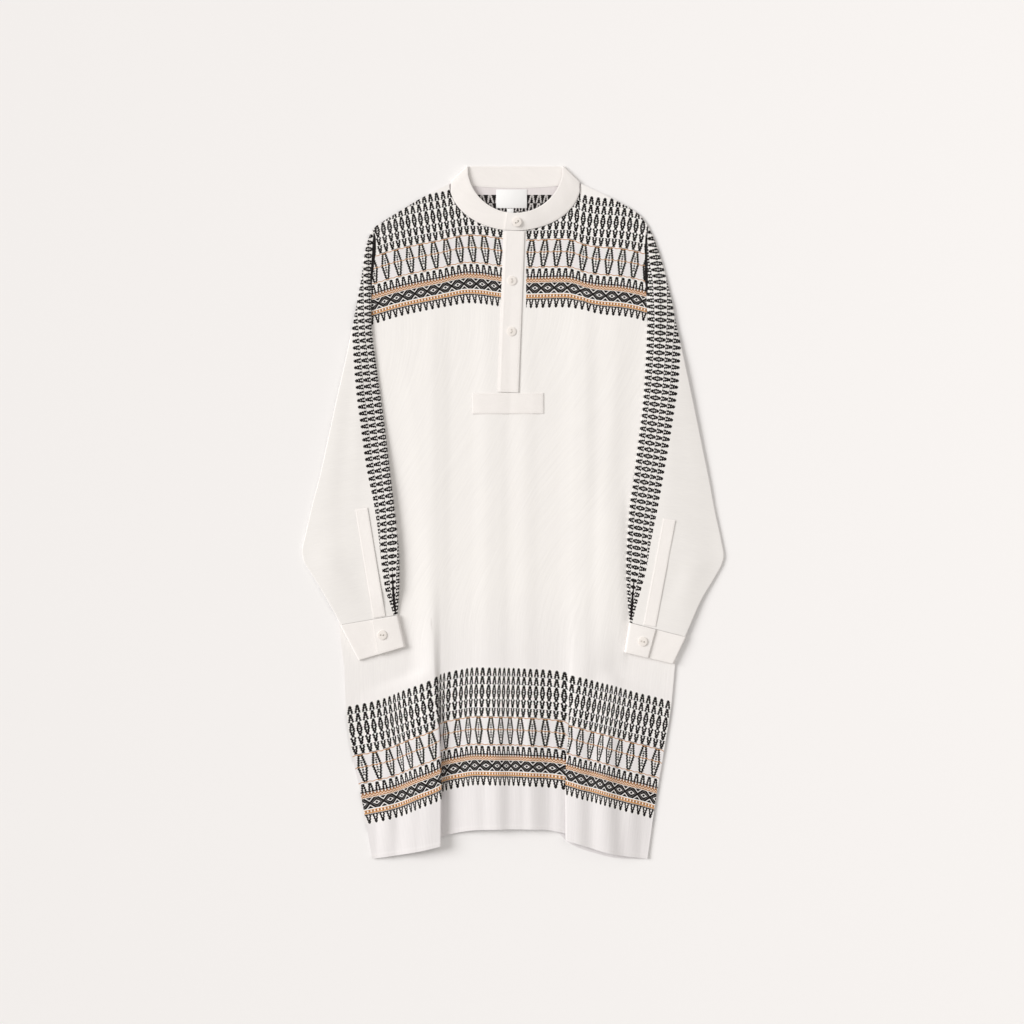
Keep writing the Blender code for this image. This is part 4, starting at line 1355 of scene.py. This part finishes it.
def sleeve_ring(table, edges, section, inset):
    """One ring round a sleeve: over the top, round the inner edge, back below, round the outer."""
    outer_x, outer_down, inner_x, inner_down, _ = (edge(section) for edge in edges)
    width = math.hypot(inner_x - outer_x, inner_down - outer_down)
    unit_x, unit_down = (inner_x - outer_x) / width, (inner_down - outer_down) / width
    radius = CLOTH + sleeve_hollow(section) / 2
    trim = radius / width
    across = [mix(trim, 1 - trim, share) for share in shares(SLEEVE_ACROSS)]

    def turn(share, side, angles):
        x, down, low, high = sleeve_layers(table, edges, section, share)
        places = []
        for angle in (math.radians(degrees) for degrees in angles):
            reach = side * (radius - inset) * math.cos(angle)
            rise = ((high - low) / 2 - inset) * math.sin(angle)
            places.append((x + unit_x * reach, down + unit_down * reach, (high + low) / 2 + rise))
        return places

    layers = [sleeve_layers(table, edges, section, share) for share in across]
    ring = [(x, down, high - inset) for x, down, _, high in layers]
    ring += turn(across[-1], 1, TURN_ANGLES)
    ring += [(x, down, low + inset) for x, down, low, _ in reversed(layers)]
    ring += turn(across[0], -1, TURN_ANGLES[::-1])
    return ring


def sleeve_curves(table):
    return curves([(i, *row) for i, row in enumerate(table)])


def make_sleeve(side, table, border):
    mark, cover = sleeve_marks(side, border), sleeve_cover(side, border)
    edges = sleeve_curves(table)
    last = len(table) - 1
    sections = [last * i / SLEEVE_SECTIONS for i in range(SLEEVE_SECTIONS + 1)]
    outer = [sleeve_ring(table, edges, s, 0.0) for s in sections]
    inner = [sleeve_ring(table, edges, s, WALL) for s in sections]
    marks = [[mark(x, down) for x, down, _ in ring] for ring in outer]
    covers = [[(cover(x, down), in_crease_shade(x, down)) for x, down, _ in ring] for ring in outer]
    return cloth_tube("sleeve_cloth_" + side, outer, inner, marks, covers, (woven_sleeve_shaded, woven_back))


def sleeve_top_at(table, edges, x, down):
    """Top of a sleeve at a place, found from the section that crosses it."""
    nearest = None
    for i in range(SLEEVE_SEARCH_STEPS * (len(table) - 1) + 1):
        section = i / SLEEVE_SEARCH_STEPS
        outer_x, outer_down, inner_x, inner_down, _ = (edge(section) for edge in edges)
        share = (x - outer_x) / (inner_x - outer_x)
        miss = abs(mix(outer_down, inner_down, share) - down)
        if nearest is None or miss < nearest[0]:
            nearest = (miss, section, share)
    return sleeve_layers(table, edges, *nearest[1:])[3]


# The doubled bands

BAND_WALL = 0.6
BAND_GAP = 0.1
BAND_EDGE = 0.25

# Steps along and across the bands' strips
PLACKET_GRID = (75, 10)
UNDERLAP_GRID = (60, 8)
CROSSBAR_GRID = (40, 12)
SLEEVE_PLACKET_GRID, SLEEVE_PLACKET_FINE = (14, 3), (56, 8)


def strip_rows(start, end, width, grid, height_at):
    """Places of a straight strip from its middle line, with a height for each place."""
    along_x, along_down = end[0] - start[0], end[1] - start[1]
    length = math.hypot(along_x, along_down)
    side_x, side_down = along_down / length, -along_x / length
    rows = []
    for t in shares(grid[0]):
        row = []
        for share in shares(grid[1]):
            side = (share - 0.5) * width
            x = mix(start[0], end[0], t) + side_x * side
            down = mix(start[1], end[1], t) + side_down * side
            row.append((x, down, height_at(x, down)))
        rows.append(row)
    return rows


def finer(rows, steps, across_steps):
    """The same sheet on a finer grid, straight between the places that it has."""
    grid = np.array(rows)
    t = np.linspace(0, len(rows) - 1, steps + 1)
    c = np.linspace(0, len(rows[0]) - 1, across_steps + 1)
    r0 = np.minimum(t.astype(int), len(rows) - 2)
    c0 = np.minimum(c.astype(int), len(rows[0]) - 2)
    rt, ct = (t - r0)[:, None, None], (c - c0)[None, :, None]
    upper = grid[r0][:, c0] * (1 - ct) + grid[r0][:, c0 + 1] * ct
    lower = grid[r0 + 1][:, c0] * (1 - ct) + grid[r0 + 1][:, c0 + 1] * ct
    return [[tuple(float(v) for v in place) for place in row] for row in upper * (1 - rt) + lower * rt]


def make_band(name, rows, wall=BAND_WALL, offset=1.0):
    return cloth_sheet(name, rows, measured_marks(rows), wall, (band,), offset, edge=BAND_EDGE)


band_seams = []


def raised(places, lift):
    return [(x, down, height + lift) for x, down, height in places]


def edge_seams(rows, ends=(True, True)):
    """Stitch paths one step inside the edges of a strip, on top of it."""
    inside = [raised(row[1:-1], BAND_WALL) for row in rows[1:-1]]
    paths = [[row[0] for row in inside], [row[-1] for row in inside]]
    return paths + [inside[-end] for end in (0, 1) if ends[end]]


def placket_height(x, down, layer=0):
    """Underside of a layer sewn to the middle of the front, 0 next to the panel."""
    highest = max(front_top_at(x + shift, down) for shift in PLACKET_REACH)
    return highest + BAND_GAP + layer * (BAND_WALL + BAND_GAP)


def make_plackets():
    top, foot = PLACKET
    under_top = (top[0] + UNDERLAP_SHIFT, top[1] + UNDERLAP_DROP)
    under_foot = (foot[0] + UNDERLAP_SHIFT, foot[1])
    under = strip_rows(under_top, under_foot, UNDERLAP_WIDTH, UNDERLAP_GRID, placket_height)
    over = strip_rows(top, foot, PLACKET_WIDTH, PLACKET_GRID, lambda x, down: placket_height(x, down, 1))
    centre_x, centre_down = CROSSBAR_CENTRE
    width, height = CROSSBAR_SIZE
    start = (centre_x + width / 2, centre_down - CROSSBAR_TILT)
    end = (centre_x - width / 2, centre_down + CROSSBAR_TILT)
    bar = strip_rows(start, end, height, CROSSBAR_GRID, placket_height)
    band_seams.extend(edge_seams(over) + edge_seams(bar))
    return (
        (make_band("placket_lower", under), "placket_underlap"),
        (make_band("placket_upper", over), "placket"),
        (make_band("placket_bar", bar), "placket_crossbar"),
    )


def placket_rest(table, edges, x, down):
    near = [(x + i, down + j) for i in SLEEVE_PLACKET_REACH for j in SLEEVE_PLACKET_REACH]
    return BAND_GAP + max(sleeve_top_at(table, edges, *place) for place in near)


def make_sleeve_placket(side, table, ends):
    edges = sleeve_curves(table)

    def height_at(x, down):
        return placket_rest(table, edges, x, down)

    coarse = strip_rows(*ends, SLEEVE_PLACKET_WIDTH, SLEEVE_PLACKET_GRID, height_at)
    rows = finer(coarse, *SLEEVE_PLACKET_FINE)
    band_seams.extend(edge_seams(rows, ends=(True, False)))
    return make_band("sleeve_slit_band_" + side, rows)


def collar_front(degrees, lift):
    """The collar's front at an angle round the neck: its upper edge and its foot."""
    angle = math.radians(degrees)
    c, s = math.cos(angle), math.sin(angle)
    near = ease(0, COLLAR_RISE_SINE, s)
    seam_top = front_top_at(COLLAR_CENTRE, NECK_SEAM_DOWN + NECK_EDGE_DEPTH) - CLOTH / 2
    top_x = COLLAR_CENTRE + NECK_EDGE_RADIUS * c
    top = (top_x, NECK_EDGE_DEPTH * s, mix(COLLAR_SIDE_TOP, COLLAR_FRONT, near) + lift)
    foot_x = COLLAR_CENTRE + (NECK_SEAM_RADIUS - SEAM) * c
    foot_down = NECK_SEAM_DOWN + (NECK_EDGE_DEPTH - SEAM) * s
    return top, (foot_x, foot_down, mix(COLLAR_SIDE_FOOT, seam_top, near) + lift)


def collar_back(share):
    """The collar's back, inside out on the table, at a place from right to left."""
    middle = BAND_CLOTH / 2
    top = (COLLAR_CENTRE + NECK_EDGE_RADIUS * (1 - 2 * share), 0.0, middle)
    foot_x = COLLAR_CENTRE + (NECK_SEAM_RADIUS - SEAM) * (1 - 2 * share)
    return top, (foot_x, back_neck_seam(foot_x) - SEAM, middle)


def collar_turn(side, degrees):
    """The fold at one side of the neck, from the front over to the back."""
    angle = math.radians(degrees)
    low = BAND_CLOTH / 2
    radius = (COLLAR_FOLD - low) / 2
    out = radius * math.cos(angle) - radius
    height = low + radius + radius * math.sin(angle)
    slope = math.hypot(NECK_SEAM_RADIUS - NECK_EDGE_RADIUS, NECK_SEAM_DOWN)
    out_x = side * out * NECK_SEAM_DOWN / slope
    out_down = -out * (NECK_SEAM_RADIUS - NECK_EDGE_RADIUS) / slope
    top = (COLLAR_CENTRE + side * NECK_EDGE_RADIUS + out_x, max(out_down, 0.0), height)
    foot_x = COLLAR_CENTRE + side * (NECK_SEAM_RADIUS - FOLD_TRIM) + out_x
    return top, (foot_x, NECK_SEAM_DOWN - FOLD_TRIM + out_down, height)


COLLAR_FRONT_STEPS = 60
COLLAR_BACK_STEPS = 60
COLLAR_ROWS = 12


def make_collar():
    """One band round the neck: over at the front, turned at each side, inside out at the back."""
    stations = []
    for share in shares(COLLAR_FRONT_STEPS):
        degrees = mix(*COLLAR_OVER_ANGLES, share)
        stations.append(collar_front(degrees, COLLAR_LAP * ease(*COLLAR_LAP_ANGLES, degrees)))
    stations += [collar_turn(1, degrees) for degrees in TURN_ANGLES]
    stations += [collar_back(mix(*COLLAR_BACK_SHARES, share)) for share in shares(COLLAR_BACK_STEPS)]
    stations += [collar_turn(-1, degrees) for degrees in reversed(TURN_ANGLES)]
    for share in shares(COLLAR_FRONT_STEPS):
        stations.append(collar_front(mix(*COLLAR_UNDER_ANGLES, share), 0.0))

    rows = []
    for share in shares(COLLAR_ROWS):
        row = []
        for top, foot in stations:
            over = top[2] > COLLAR_FOLD - BAND_CLOTH / 2
            crown = COLLAR_CROWN * math.sin(math.pi * share) * over
            x, down, height = (mix(a, b, share) for a, b in zip(top, foot))
            row.append((x, down, height + crown))
        rows.append(row)
    add_collar_seams(rows)
    return make_band("stand_collar", rows, wall=BAND_CLOTH, offset=0.0)


def add_collar_seams(rows):
    """Stitches near the collar's two edges, where they show, and at its overlap."""
    back_first = COLLAR_FRONT_STEPS + 1 + len(TURN_ANGLES)
    under_first = back_first + COLLAR_BACK_STEPS + 1 + len(TURN_ANGLES)
    first, last = COLLAR_UNDER_ANGLES
    under_shown = (first - COLLAR_OVER_ANGLES[0]) / (first - last)
    shown = (
        (1, COLLAR_FRONT_STEPS),
        (back_first + 2, back_first + COLLAR_BACK_STEPS - 1),
        (under_first + 1, under_first + int(COLLAR_FRONT_STEPS * under_shown)),
    )
    for row in (rows[1], rows[-2]):
        band_seams.extend(raised(row[first:last], BAND_CLOTH / 2) for first, last in shown)
    band_seams.append(raised([row[1] for row in rows[1:-1]], BAND_CLOTH / 2))


CUFF_ROWS = 20
CUFF_OVER_STEPS = 24
CUFF_BACK_STEPS = 30
CUFF_UNDER_STEPS = 16


def cuff_turn(centre, side, radius, angles):
    """Places round one edge of a cuff, as distance along it and height."""
    turned = [math.radians(degrees) for degrees in angles]
    middle = CUFF_BACK + radius
    return [(centre + side * radius * math.cos(a), middle + radius * math.sin(a)) for a in turned]


def cuff_frame(cuff, share):
    """A cuff's outer edge, its direction across, its width and its overlap's place, at one height."""
    outer, inner, overlap = (
        [mix(a, b, share) for a, b in zip(*cuff[name])] for name in ("outer", "inner", "overlap"))
    width = math.hypot(inner[0] - outer[0], inner[1] - outer[1])
    unit = [(b - a) / width for a, b in zip(outer, inner)]
    lap = sum((o - a) * u for o, a, u in zip(overlap, outer, unit))
    return outer, unit, width, lap


def cuff_path(cuff, share):
    """The cuff band's way round at one height, from its overlap end to its end underneath."""
    outer, unit, width, lap = cuff_frame(cuff, share)
    path = []
    for t in shares(CUFF_OVER_STEPS):
        height = CUFF_OVER + CUFF_CROWN * math.sin(math.pi * t)
        path.append((mix(lap, width - CUFF_OVER / 2, t), height))
    radius = (CUFF_OVER - CUFF_BACK) / 2
    path += cuff_turn(width - radius, 1, radius, TURN_ANGLES)
    path += [(mix(width - radius, radius, t), CUFF_BACK) for t in shares(CUFF_BACK_STEPS)]
    radius = (CUFF_UNDER - CUFF_BACK) / 2
    path += cuff_turn(radius, -1, radius, TURN_ANGLES[::-1])
    path += [(mix(radius, lap + CUFF_UNDERLAP, t), CUFF_UNDER) for t in shares(CUFF_UNDER_STEPS)]
    places = []
    for along, height in path:
        x, down = outer[0] + unit[0] * along, outer[1] + unit[1] * along
        places.append((x, down, sleeve_rest(x, down) + height))
    return places


def make_cuff(side, cuff):
    rows = [cuff_path(cuff, share) for share in shares(CUFF_ROWS)]
    for row in (rows[1], rows[-2]):
        band_seams.append(raised(row[1:CUFF_OVER_STEPS], BAND_CLOTH / 2))
    band_seams.append(raised([row[1] for row in rows[1:-1]], BAND_CLOTH / 2))
    return make_band("cuff_band_" + side, rows, wall=BAND_CLOTH, offset=0.0)


# Buttons and labels

RIM = 0.9
DISH = 0.45
HOLE_RADIUS = 1.05
HOLE_SPACING = 4.1
MIDDLE_INSET, MIDDLE_DROP = 0.3, 0.1
TURNED_ROUND, TURNED_STEPS, TURNED_ANGLE = 0.4, 3, 40
BUTTON_SIDES, HOLE_SIDES = 72, 20
SAME_HEIGHT, UPWARD = 1e-5, 0.9

# Thread through a button's holes: strands side by side, their gap, half their width, and the way of
# each as x and height over the dished middle
STRANDS = (-1, 0, 1)
STRAND_GAP, STRAND_RADIUS = 0.33, 0.14
STRAND_ROUTE = ((-1.7, -1.6), (-1.6, -0.2), (-1.1, 0.1), (0, 0.16), (1.1, 0.1), (1.6, -0.2), (1.7, -1.6))
LABEL_ROUND = 0.15


def add_cylinder(sides, radius, depth, place):
    bpy.ops.object.select_all(action="DESELECT")
    bpy.ops.mesh.primitive_cylinder_add(vertices=sides, radius=radius, depth=depth, location=place)
    return bpy.context.object


def button_blank(name):
    """A turned button with a raised rim, a dished middle and two holes, at the origin."""
    radius, thick = BUTTON_DIAMETER / 2000, BUTTON_THICKNESS / 1000
    blank = add_cylinder(BUTTON_SIDES, radius, thick, (0, 0, thick / 2))
    blank.name = blank.data.name = name
    bpy.ops.object.mode_set(mode="EDIT")
    select_top(blank, thick)
    bpy.ops.mesh.inset(thickness=RIM / 1000)
    bpy.ops.mesh.inset(thickness=RIM / 1000)
    bpy.ops.transform.translate(value=(0, 0, -DISH / 1000))
    bpy.ops.mesh.inset(thickness=radius * MIDDLE_INSET)
    bpy.ops.transform.translate(value=(0, 0, -MIDDLE_DROP / 1000))
    bpy.ops.object.mode_set(mode="OBJECT")
    round_edges(blank, TURNED_ROUND, TURNED_STEPS, TURNED_ANGLE)
    for side in (-1, 1):
        place = (side * HOLE_SPACING / 2000, 0, thick / 2)
        cutter = add_cylinder(HOLE_SIDES, HOLE_RADIUS / 1000, thick * 3, place)
        hole = blank.modifiers.new("Hole", "BOOLEAN")
        hole.object = cutter
        apply_modifiers(blank)
        bpy.data.objects.remove(cutter, do_unlink=True)
    give_finish(blank, shell, 35)
    return blank


def select_top(obj, height):
    """In edit mode, selects the flat face at a height."""
    work = bmesh.from_edit_mesh(obj.data)
    for face in work.faces:
        level = abs(face.calc_center_median().z - height) < SAME_HEIGHT
        face.select_set(level and face.normal.z > UPWARD)
    work.select_flush_mode()
    bmesh.update_edit_mesh(obj.data)


def button_thread(name):
    """The strands that cross a button between its two holes, at the origin."""
    top = BUTTON_THICKNESS - DISH
    bends = []
    for strand in STRANDS:
        line = bpy.data.curves.new(name, "CURVE")
        line.dimensions = "3D"
        line.bevel_depth = STRAND_RADIUS / 1000
        line.bevel_resolution = 2
        spline = line.splines.new("NURBS")
        spline.points.add(len(STRAND_ROUTE) - 1)
        for at, (x, z) in zip(spline.points, STRAND_ROUTE):
            at.co = (x / 1000, strand * STRAND_GAP / 1000, (top + z) / 1000, 1)
        spline.use_endpoint_u = True
        bends.append(link(name, line))
    bpy.ops.object.select_all(action="DESELECT")
    for made in bends:
        made.select_set(True)
    bpy.context.view_layer.objects.active = bends[0]
    bpy.ops.object.convert(target="MESH")
    bpy.ops.object.join()
    joined = bpy.context.object
    joined.name = joined.data.name = name
    give_finish(joined, sewing, 60)
    return joined


def settle(obj, x, down, height, turn):
    """Turns a piece modelled at the origin and moves it to its place, in its mesh."""
    only(obj)
    obj.rotation_euler.z = math.radians(turn)
    obj.location = point(x, down, height)
    bpy.ops.object.transform_apply(location=True, rotation=True, scale=True)
    return obj


def make_buttons():
    made = []
    for node, x, down, turn in BUTTONS:
        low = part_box(node)[0].z * 1000
        if node.startswith("button_front"):
            low = placket_height(x, down, 1) + BAND_WALL + BAND_GAP
        place = settle(button_blank("shell_" + node), x, down, low, turn)
        thread = settle(button_thread("thread_" + node), x, down, low, turn)
        made.append((place, thread, node))
    return made


def make_label(name, node):
    """A bare folded tape, on the box of its solid, with softened corners."""
    low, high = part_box(node)
    size = high - low
    bpy.ops.object.select_all(action="DESELECT")
    bpy.ops.mesh.primitive_cube_add(size=1, location=(low + high) / 2, scale=size)
    made = bpy.context.object
    made.name = made.data.name = name
    bpy.ops.object.transform_apply(location=True, rotation=True, scale=True)
    bpy.ops.object.mode_set(mode="EDIT")
    bpy.ops.mesh.select_all(action="SELECT")
    bpy.ops.mesh.bevel(offset=LABEL_ROUND / 1000, segments=2)
    bpy.ops.object.mode_set(mode="OBJECT")
    made.data.uv_layers.remove(made.data.uv_layers[0])
    set_marks(made.data, [(v.co.x * 1000, v.co.y * 1000) for v in made.data.vertices])
    give_finish(made, tape, 35)
    return made


# Sewing

STITCH_LENGTH, STITCH_PITCH, STITCH_WIDTH, STITCH_RISE = 2.1, 2.9, 0.42, 0.30
LOOK_AROUND = 0.5


def walk(path):
    """Places and directions of the stitches along a path of places."""
    spots = np.array(path)
    steps = np.linalg.norm(np.diff(spots, axis=0), axis=1)
    lengths = np.concatenate(([0.0], np.cumsum(steps)))
    count = max(int(lengths[-1] / STITCH_PITCH), 1)
    for i in range(count):
        at = (i + 0.5) * lengths[-1] / count
        stretch = (at, min(at + LOOK_AROUND, lengths[-1]), max(at - LOOK_AROUND, 0))
        here, ahead, behind = np.transpose([np.interp(stretch, lengths, column) for column in spots.T])
        yield here, ahead - behind


def make_stitches(name, paths):
    """Rows of sewn stitches as one mesh: each is a small bead along its path."""
    bead = bmesh.new()
    bmesh.ops.create_icosphere(bead, subdivisions=1, radius=0.5)
    corners = [tuple(v.co) for v in bead.verts]
    sides = [tuple(v.index for v in f.verts) for f in bead.faces]
    bead.free()
    points, faces = [], []
    for path in paths:
        for (x, down, height), (run_x, run_down, run_height) in walk(path):
            flat = math.hypot(run_x, run_down)
            ux, ud, slope = run_x / flat, run_down / flat, run_height / flat
            first = len(points)
            for a, b, c in corners:
                along, aside, up = a * STITCH_LENGTH, b * STITCH_WIDTH, c * STITCH_RISE
                shown_x = x + ux * along - ud * aside
                points.append(point(shown_x, down + ud * along + ux * aside, height + up + slope * along))
            faces += [tuple(first + i for i in side) for side in sides]
    mesh = bpy.data.meshes.new(name)
    mesh.from_pydata(points, [], faces)
    mesh.materials.append(sewing)
    turn_outward(mesh)
    made = link(name, mesh)
    smooth(made, 80)
    return made


HEM_SEAM = 3.9


def shown_runs(places, ahead):
    """The stretches of a line along the hem that no flap hides, walked from one side."""
    runs, reach = [[]], -math.inf
    for place in places:
        if ahead * place[0] > reach:
            reach = ahead * place[0]
            runs[-1].append(place)
        elif runs[-1]:
            runs.append([])
    return [run for run in runs if len(run) > 2]


def hem_seams():
    """Stitch paths along the front's hem, apart from the cloth folded away under the two flaps."""
    places = []
    for across in body_columns(NECK_STEP):
        hem = front_hem(across)
        top = body_place(across, 0.0, neck_seam, front_hem)[1]
        x, down = body_place(across, 1 - HEM_SEAM / (hem - top), neck_seam, front_hem)
        height = front_height(x, down) + CLOTH + HEM_RISE
        places.append((x + flap_shift(x, across, down), down, height))
    middle = len(places) // 2
    return shown_runs(places[:middle], 1) + shown_runs(places[:middle - 1:-1], -1)


# The dress, put together

# Sheets: flat width and length in metres, and the flat area of the cut in square metres
CUTS = {
    "front_cloth": (0.53, 0.95, 0.40),
    "back_cloth": (0.53, 0.94, 0.40),
    "sleeve_cloth_left": (0.28, 0.56, 0.080),
    "sleeve_cloth_right": (0.28, 0.58, 0.090),
    "placket_lower": (0.024, 0.223, 0.0053),
    "placket_upper": (0.027, 0.225, 0.0060),
    "placket_bar": (0.100, 0.029, 0.0029),
    "sleeve_slit_band_left": (0.0175, 0.154, 0.0026),
    "sleeve_slit_band_right": (0.0175, 0.152, 0.0026),
    "stand_collar": (0.44, 0.034, 0.0126),
    "cuff_band_left": (0.18, 0.055, 0.0087),
    "cuff_band_right": (0.17, 0.050, 0.0075),
}


def add_piece(piece, slot, *nodes):
    """Puts a piece in the frame, in place of its solid where it has one."""
    if nodes:
        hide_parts(*nodes)
    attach(piece, "root")


def dress(piece, node, slot):
    """Does the same with a piece of cloth, and looks up its cut."""
    add_piece(piece, slot, node)
    width, length, area = CUTS[piece.name]
    return piece


back = dress(make_back(), "back_panel", "cloth")
front = dress(make_front(), "front_panel", "cloth")
for side, table_rows, border in (("left", LEFT_SLEEVE, LEFT_BORDER), ("right", RIGHT_SLEEVE, RIGHT_BORDER)):
    dress(make_sleeve(side, table_rows, border), "sleeve_" + side, "cloth")
placket_ends = {"left": LEFT_SLEEVE_PLACKET, "right": RIGHT_SLEEVE_PLACKET}
for side, table_rows in (("left", LEFT_SLEEVE), ("right", RIGHT_SLEEVE)):
    slit_band = make_sleeve_placket(side, table_rows, placket_ends[side])
    dress(slit_band, "sleeve_placket_" + side, "band_cloth")
for side, cuff in (("left", LEFT_CUFF), ("right", RIGHT_CUFF)):
    dress(make_cuff(side, cuff), "cuff_" + side, "band_cloth")
dress(make_collar(), "collar", "band_cloth")
for piece, node in make_plackets():
    dress(piece, node, "band_cloth")
for place, thread, node in make_buttons():
    add_piece(place, "button", node)
    add_piece(thread, "button")
add_piece(make_stitches("band_stitches", band_seams), "band_cloth")
add_piece(make_stitches("hem_stitches", hem_seams()), "cloth")
add_piece(make_label("neck_label", "label"), "label_tape", "label")
add_piece(make_label("size_tape", "size_tag"), "label_tape", "size_tag")


# The table, the light and the camera

PHOTO_WIDTH = 1.4336
PHOTO_CENTRE = (-0.0014, 0.0007)
LENS, SENSOR = 85.0, 36.0
TABLE_SIZE, TABLE_HEIGHT = 9.0, -0.0003
WINDOW_PLACE, WINDOW_COLOUR = (-2.5, 0.8, 1.64), (1.0, 0.985, 0.975)
WINDOW_STRENGTH, WINDOW_SPREAD = 2.69, 32.0
FILL_PLACE, FILL_COLOUR = (1.8, 0.4, 2.6), (1.0, 0.985, 0.97)
FILL_POWER, FILL_SIZE = 12.0, 2.4
ROOM_COLOUR, ROOM_LIGHT = (1.0, 0.955, 0.905), 0.50


def add_stage():
    bpy.ops.object.select_all(action="DESELECT")
    bpy.ops.mesh.primitive_plane_add(size=TABLE_SIZE, location=(0, 0, TABLE_HEIGHT))
    floor = bpy.context.object
    floor.name = floor.data.name = "table_top"
    floor.data.materials.append(table)
    floor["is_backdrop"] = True


def add_lamp(name, kind, power, colour, place):
    """A lamp at a place, pointed at the dress."""
    lamp = bpy.data.lights.new(name, kind)
    lamp.energy = power
    lamp.color = colour
    made = link(name, lamp)
    made.location = place
    made.rotation_euler = (-Vector(place)).to_track_quat("-Z", "Y").to_euler()
    return lamp


def add_lights():
    """A broad even light from the left, a large soft panel above the right side, and the room."""
    window = add_lamp("window", "SUN", WINDOW_STRENGTH, WINDOW_COLOUR, WINDOW_PLACE)
    window.angle = math.radians(WINDOW_SPREAD)
    fill = add_lamp("fill", "AREA", FILL_POWER, FILL_COLOUR, FILL_PLACE)
    fill.shape = "DISK"
    fill.size = FILL_SIZE
    world = bpy.data.worlds.new("studio")
    world.use_nodes = True
    world.node_tree.nodes["Background"].inputs["Color"].default_value = (*ROOM_COLOUR, 1.0)
    world.node_tree.nodes["Background"].inputs["Strength"].default_value = ROOM_LIGHT
    bpy.context.scene.world = world


def add_camera():
    lens = bpy.data.cameras.new("above")
    lens.lens = LENS
    lens.sensor_width = SENSOR
    made = link("above", lens)
    made.location = (*PHOTO_CENTRE, PHOTO_WIDTH * LENS / SENSOR)
    bpy.context.scene.camera = made


add_stage()
add_lights()
add_camera()
bpy.context.scene.view_settings.view_transform = "Standard"

boxes = {"cad": cad_box, "visual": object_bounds()}
{name: [list(corner) for corner in box] for name, box in boxes.items()}
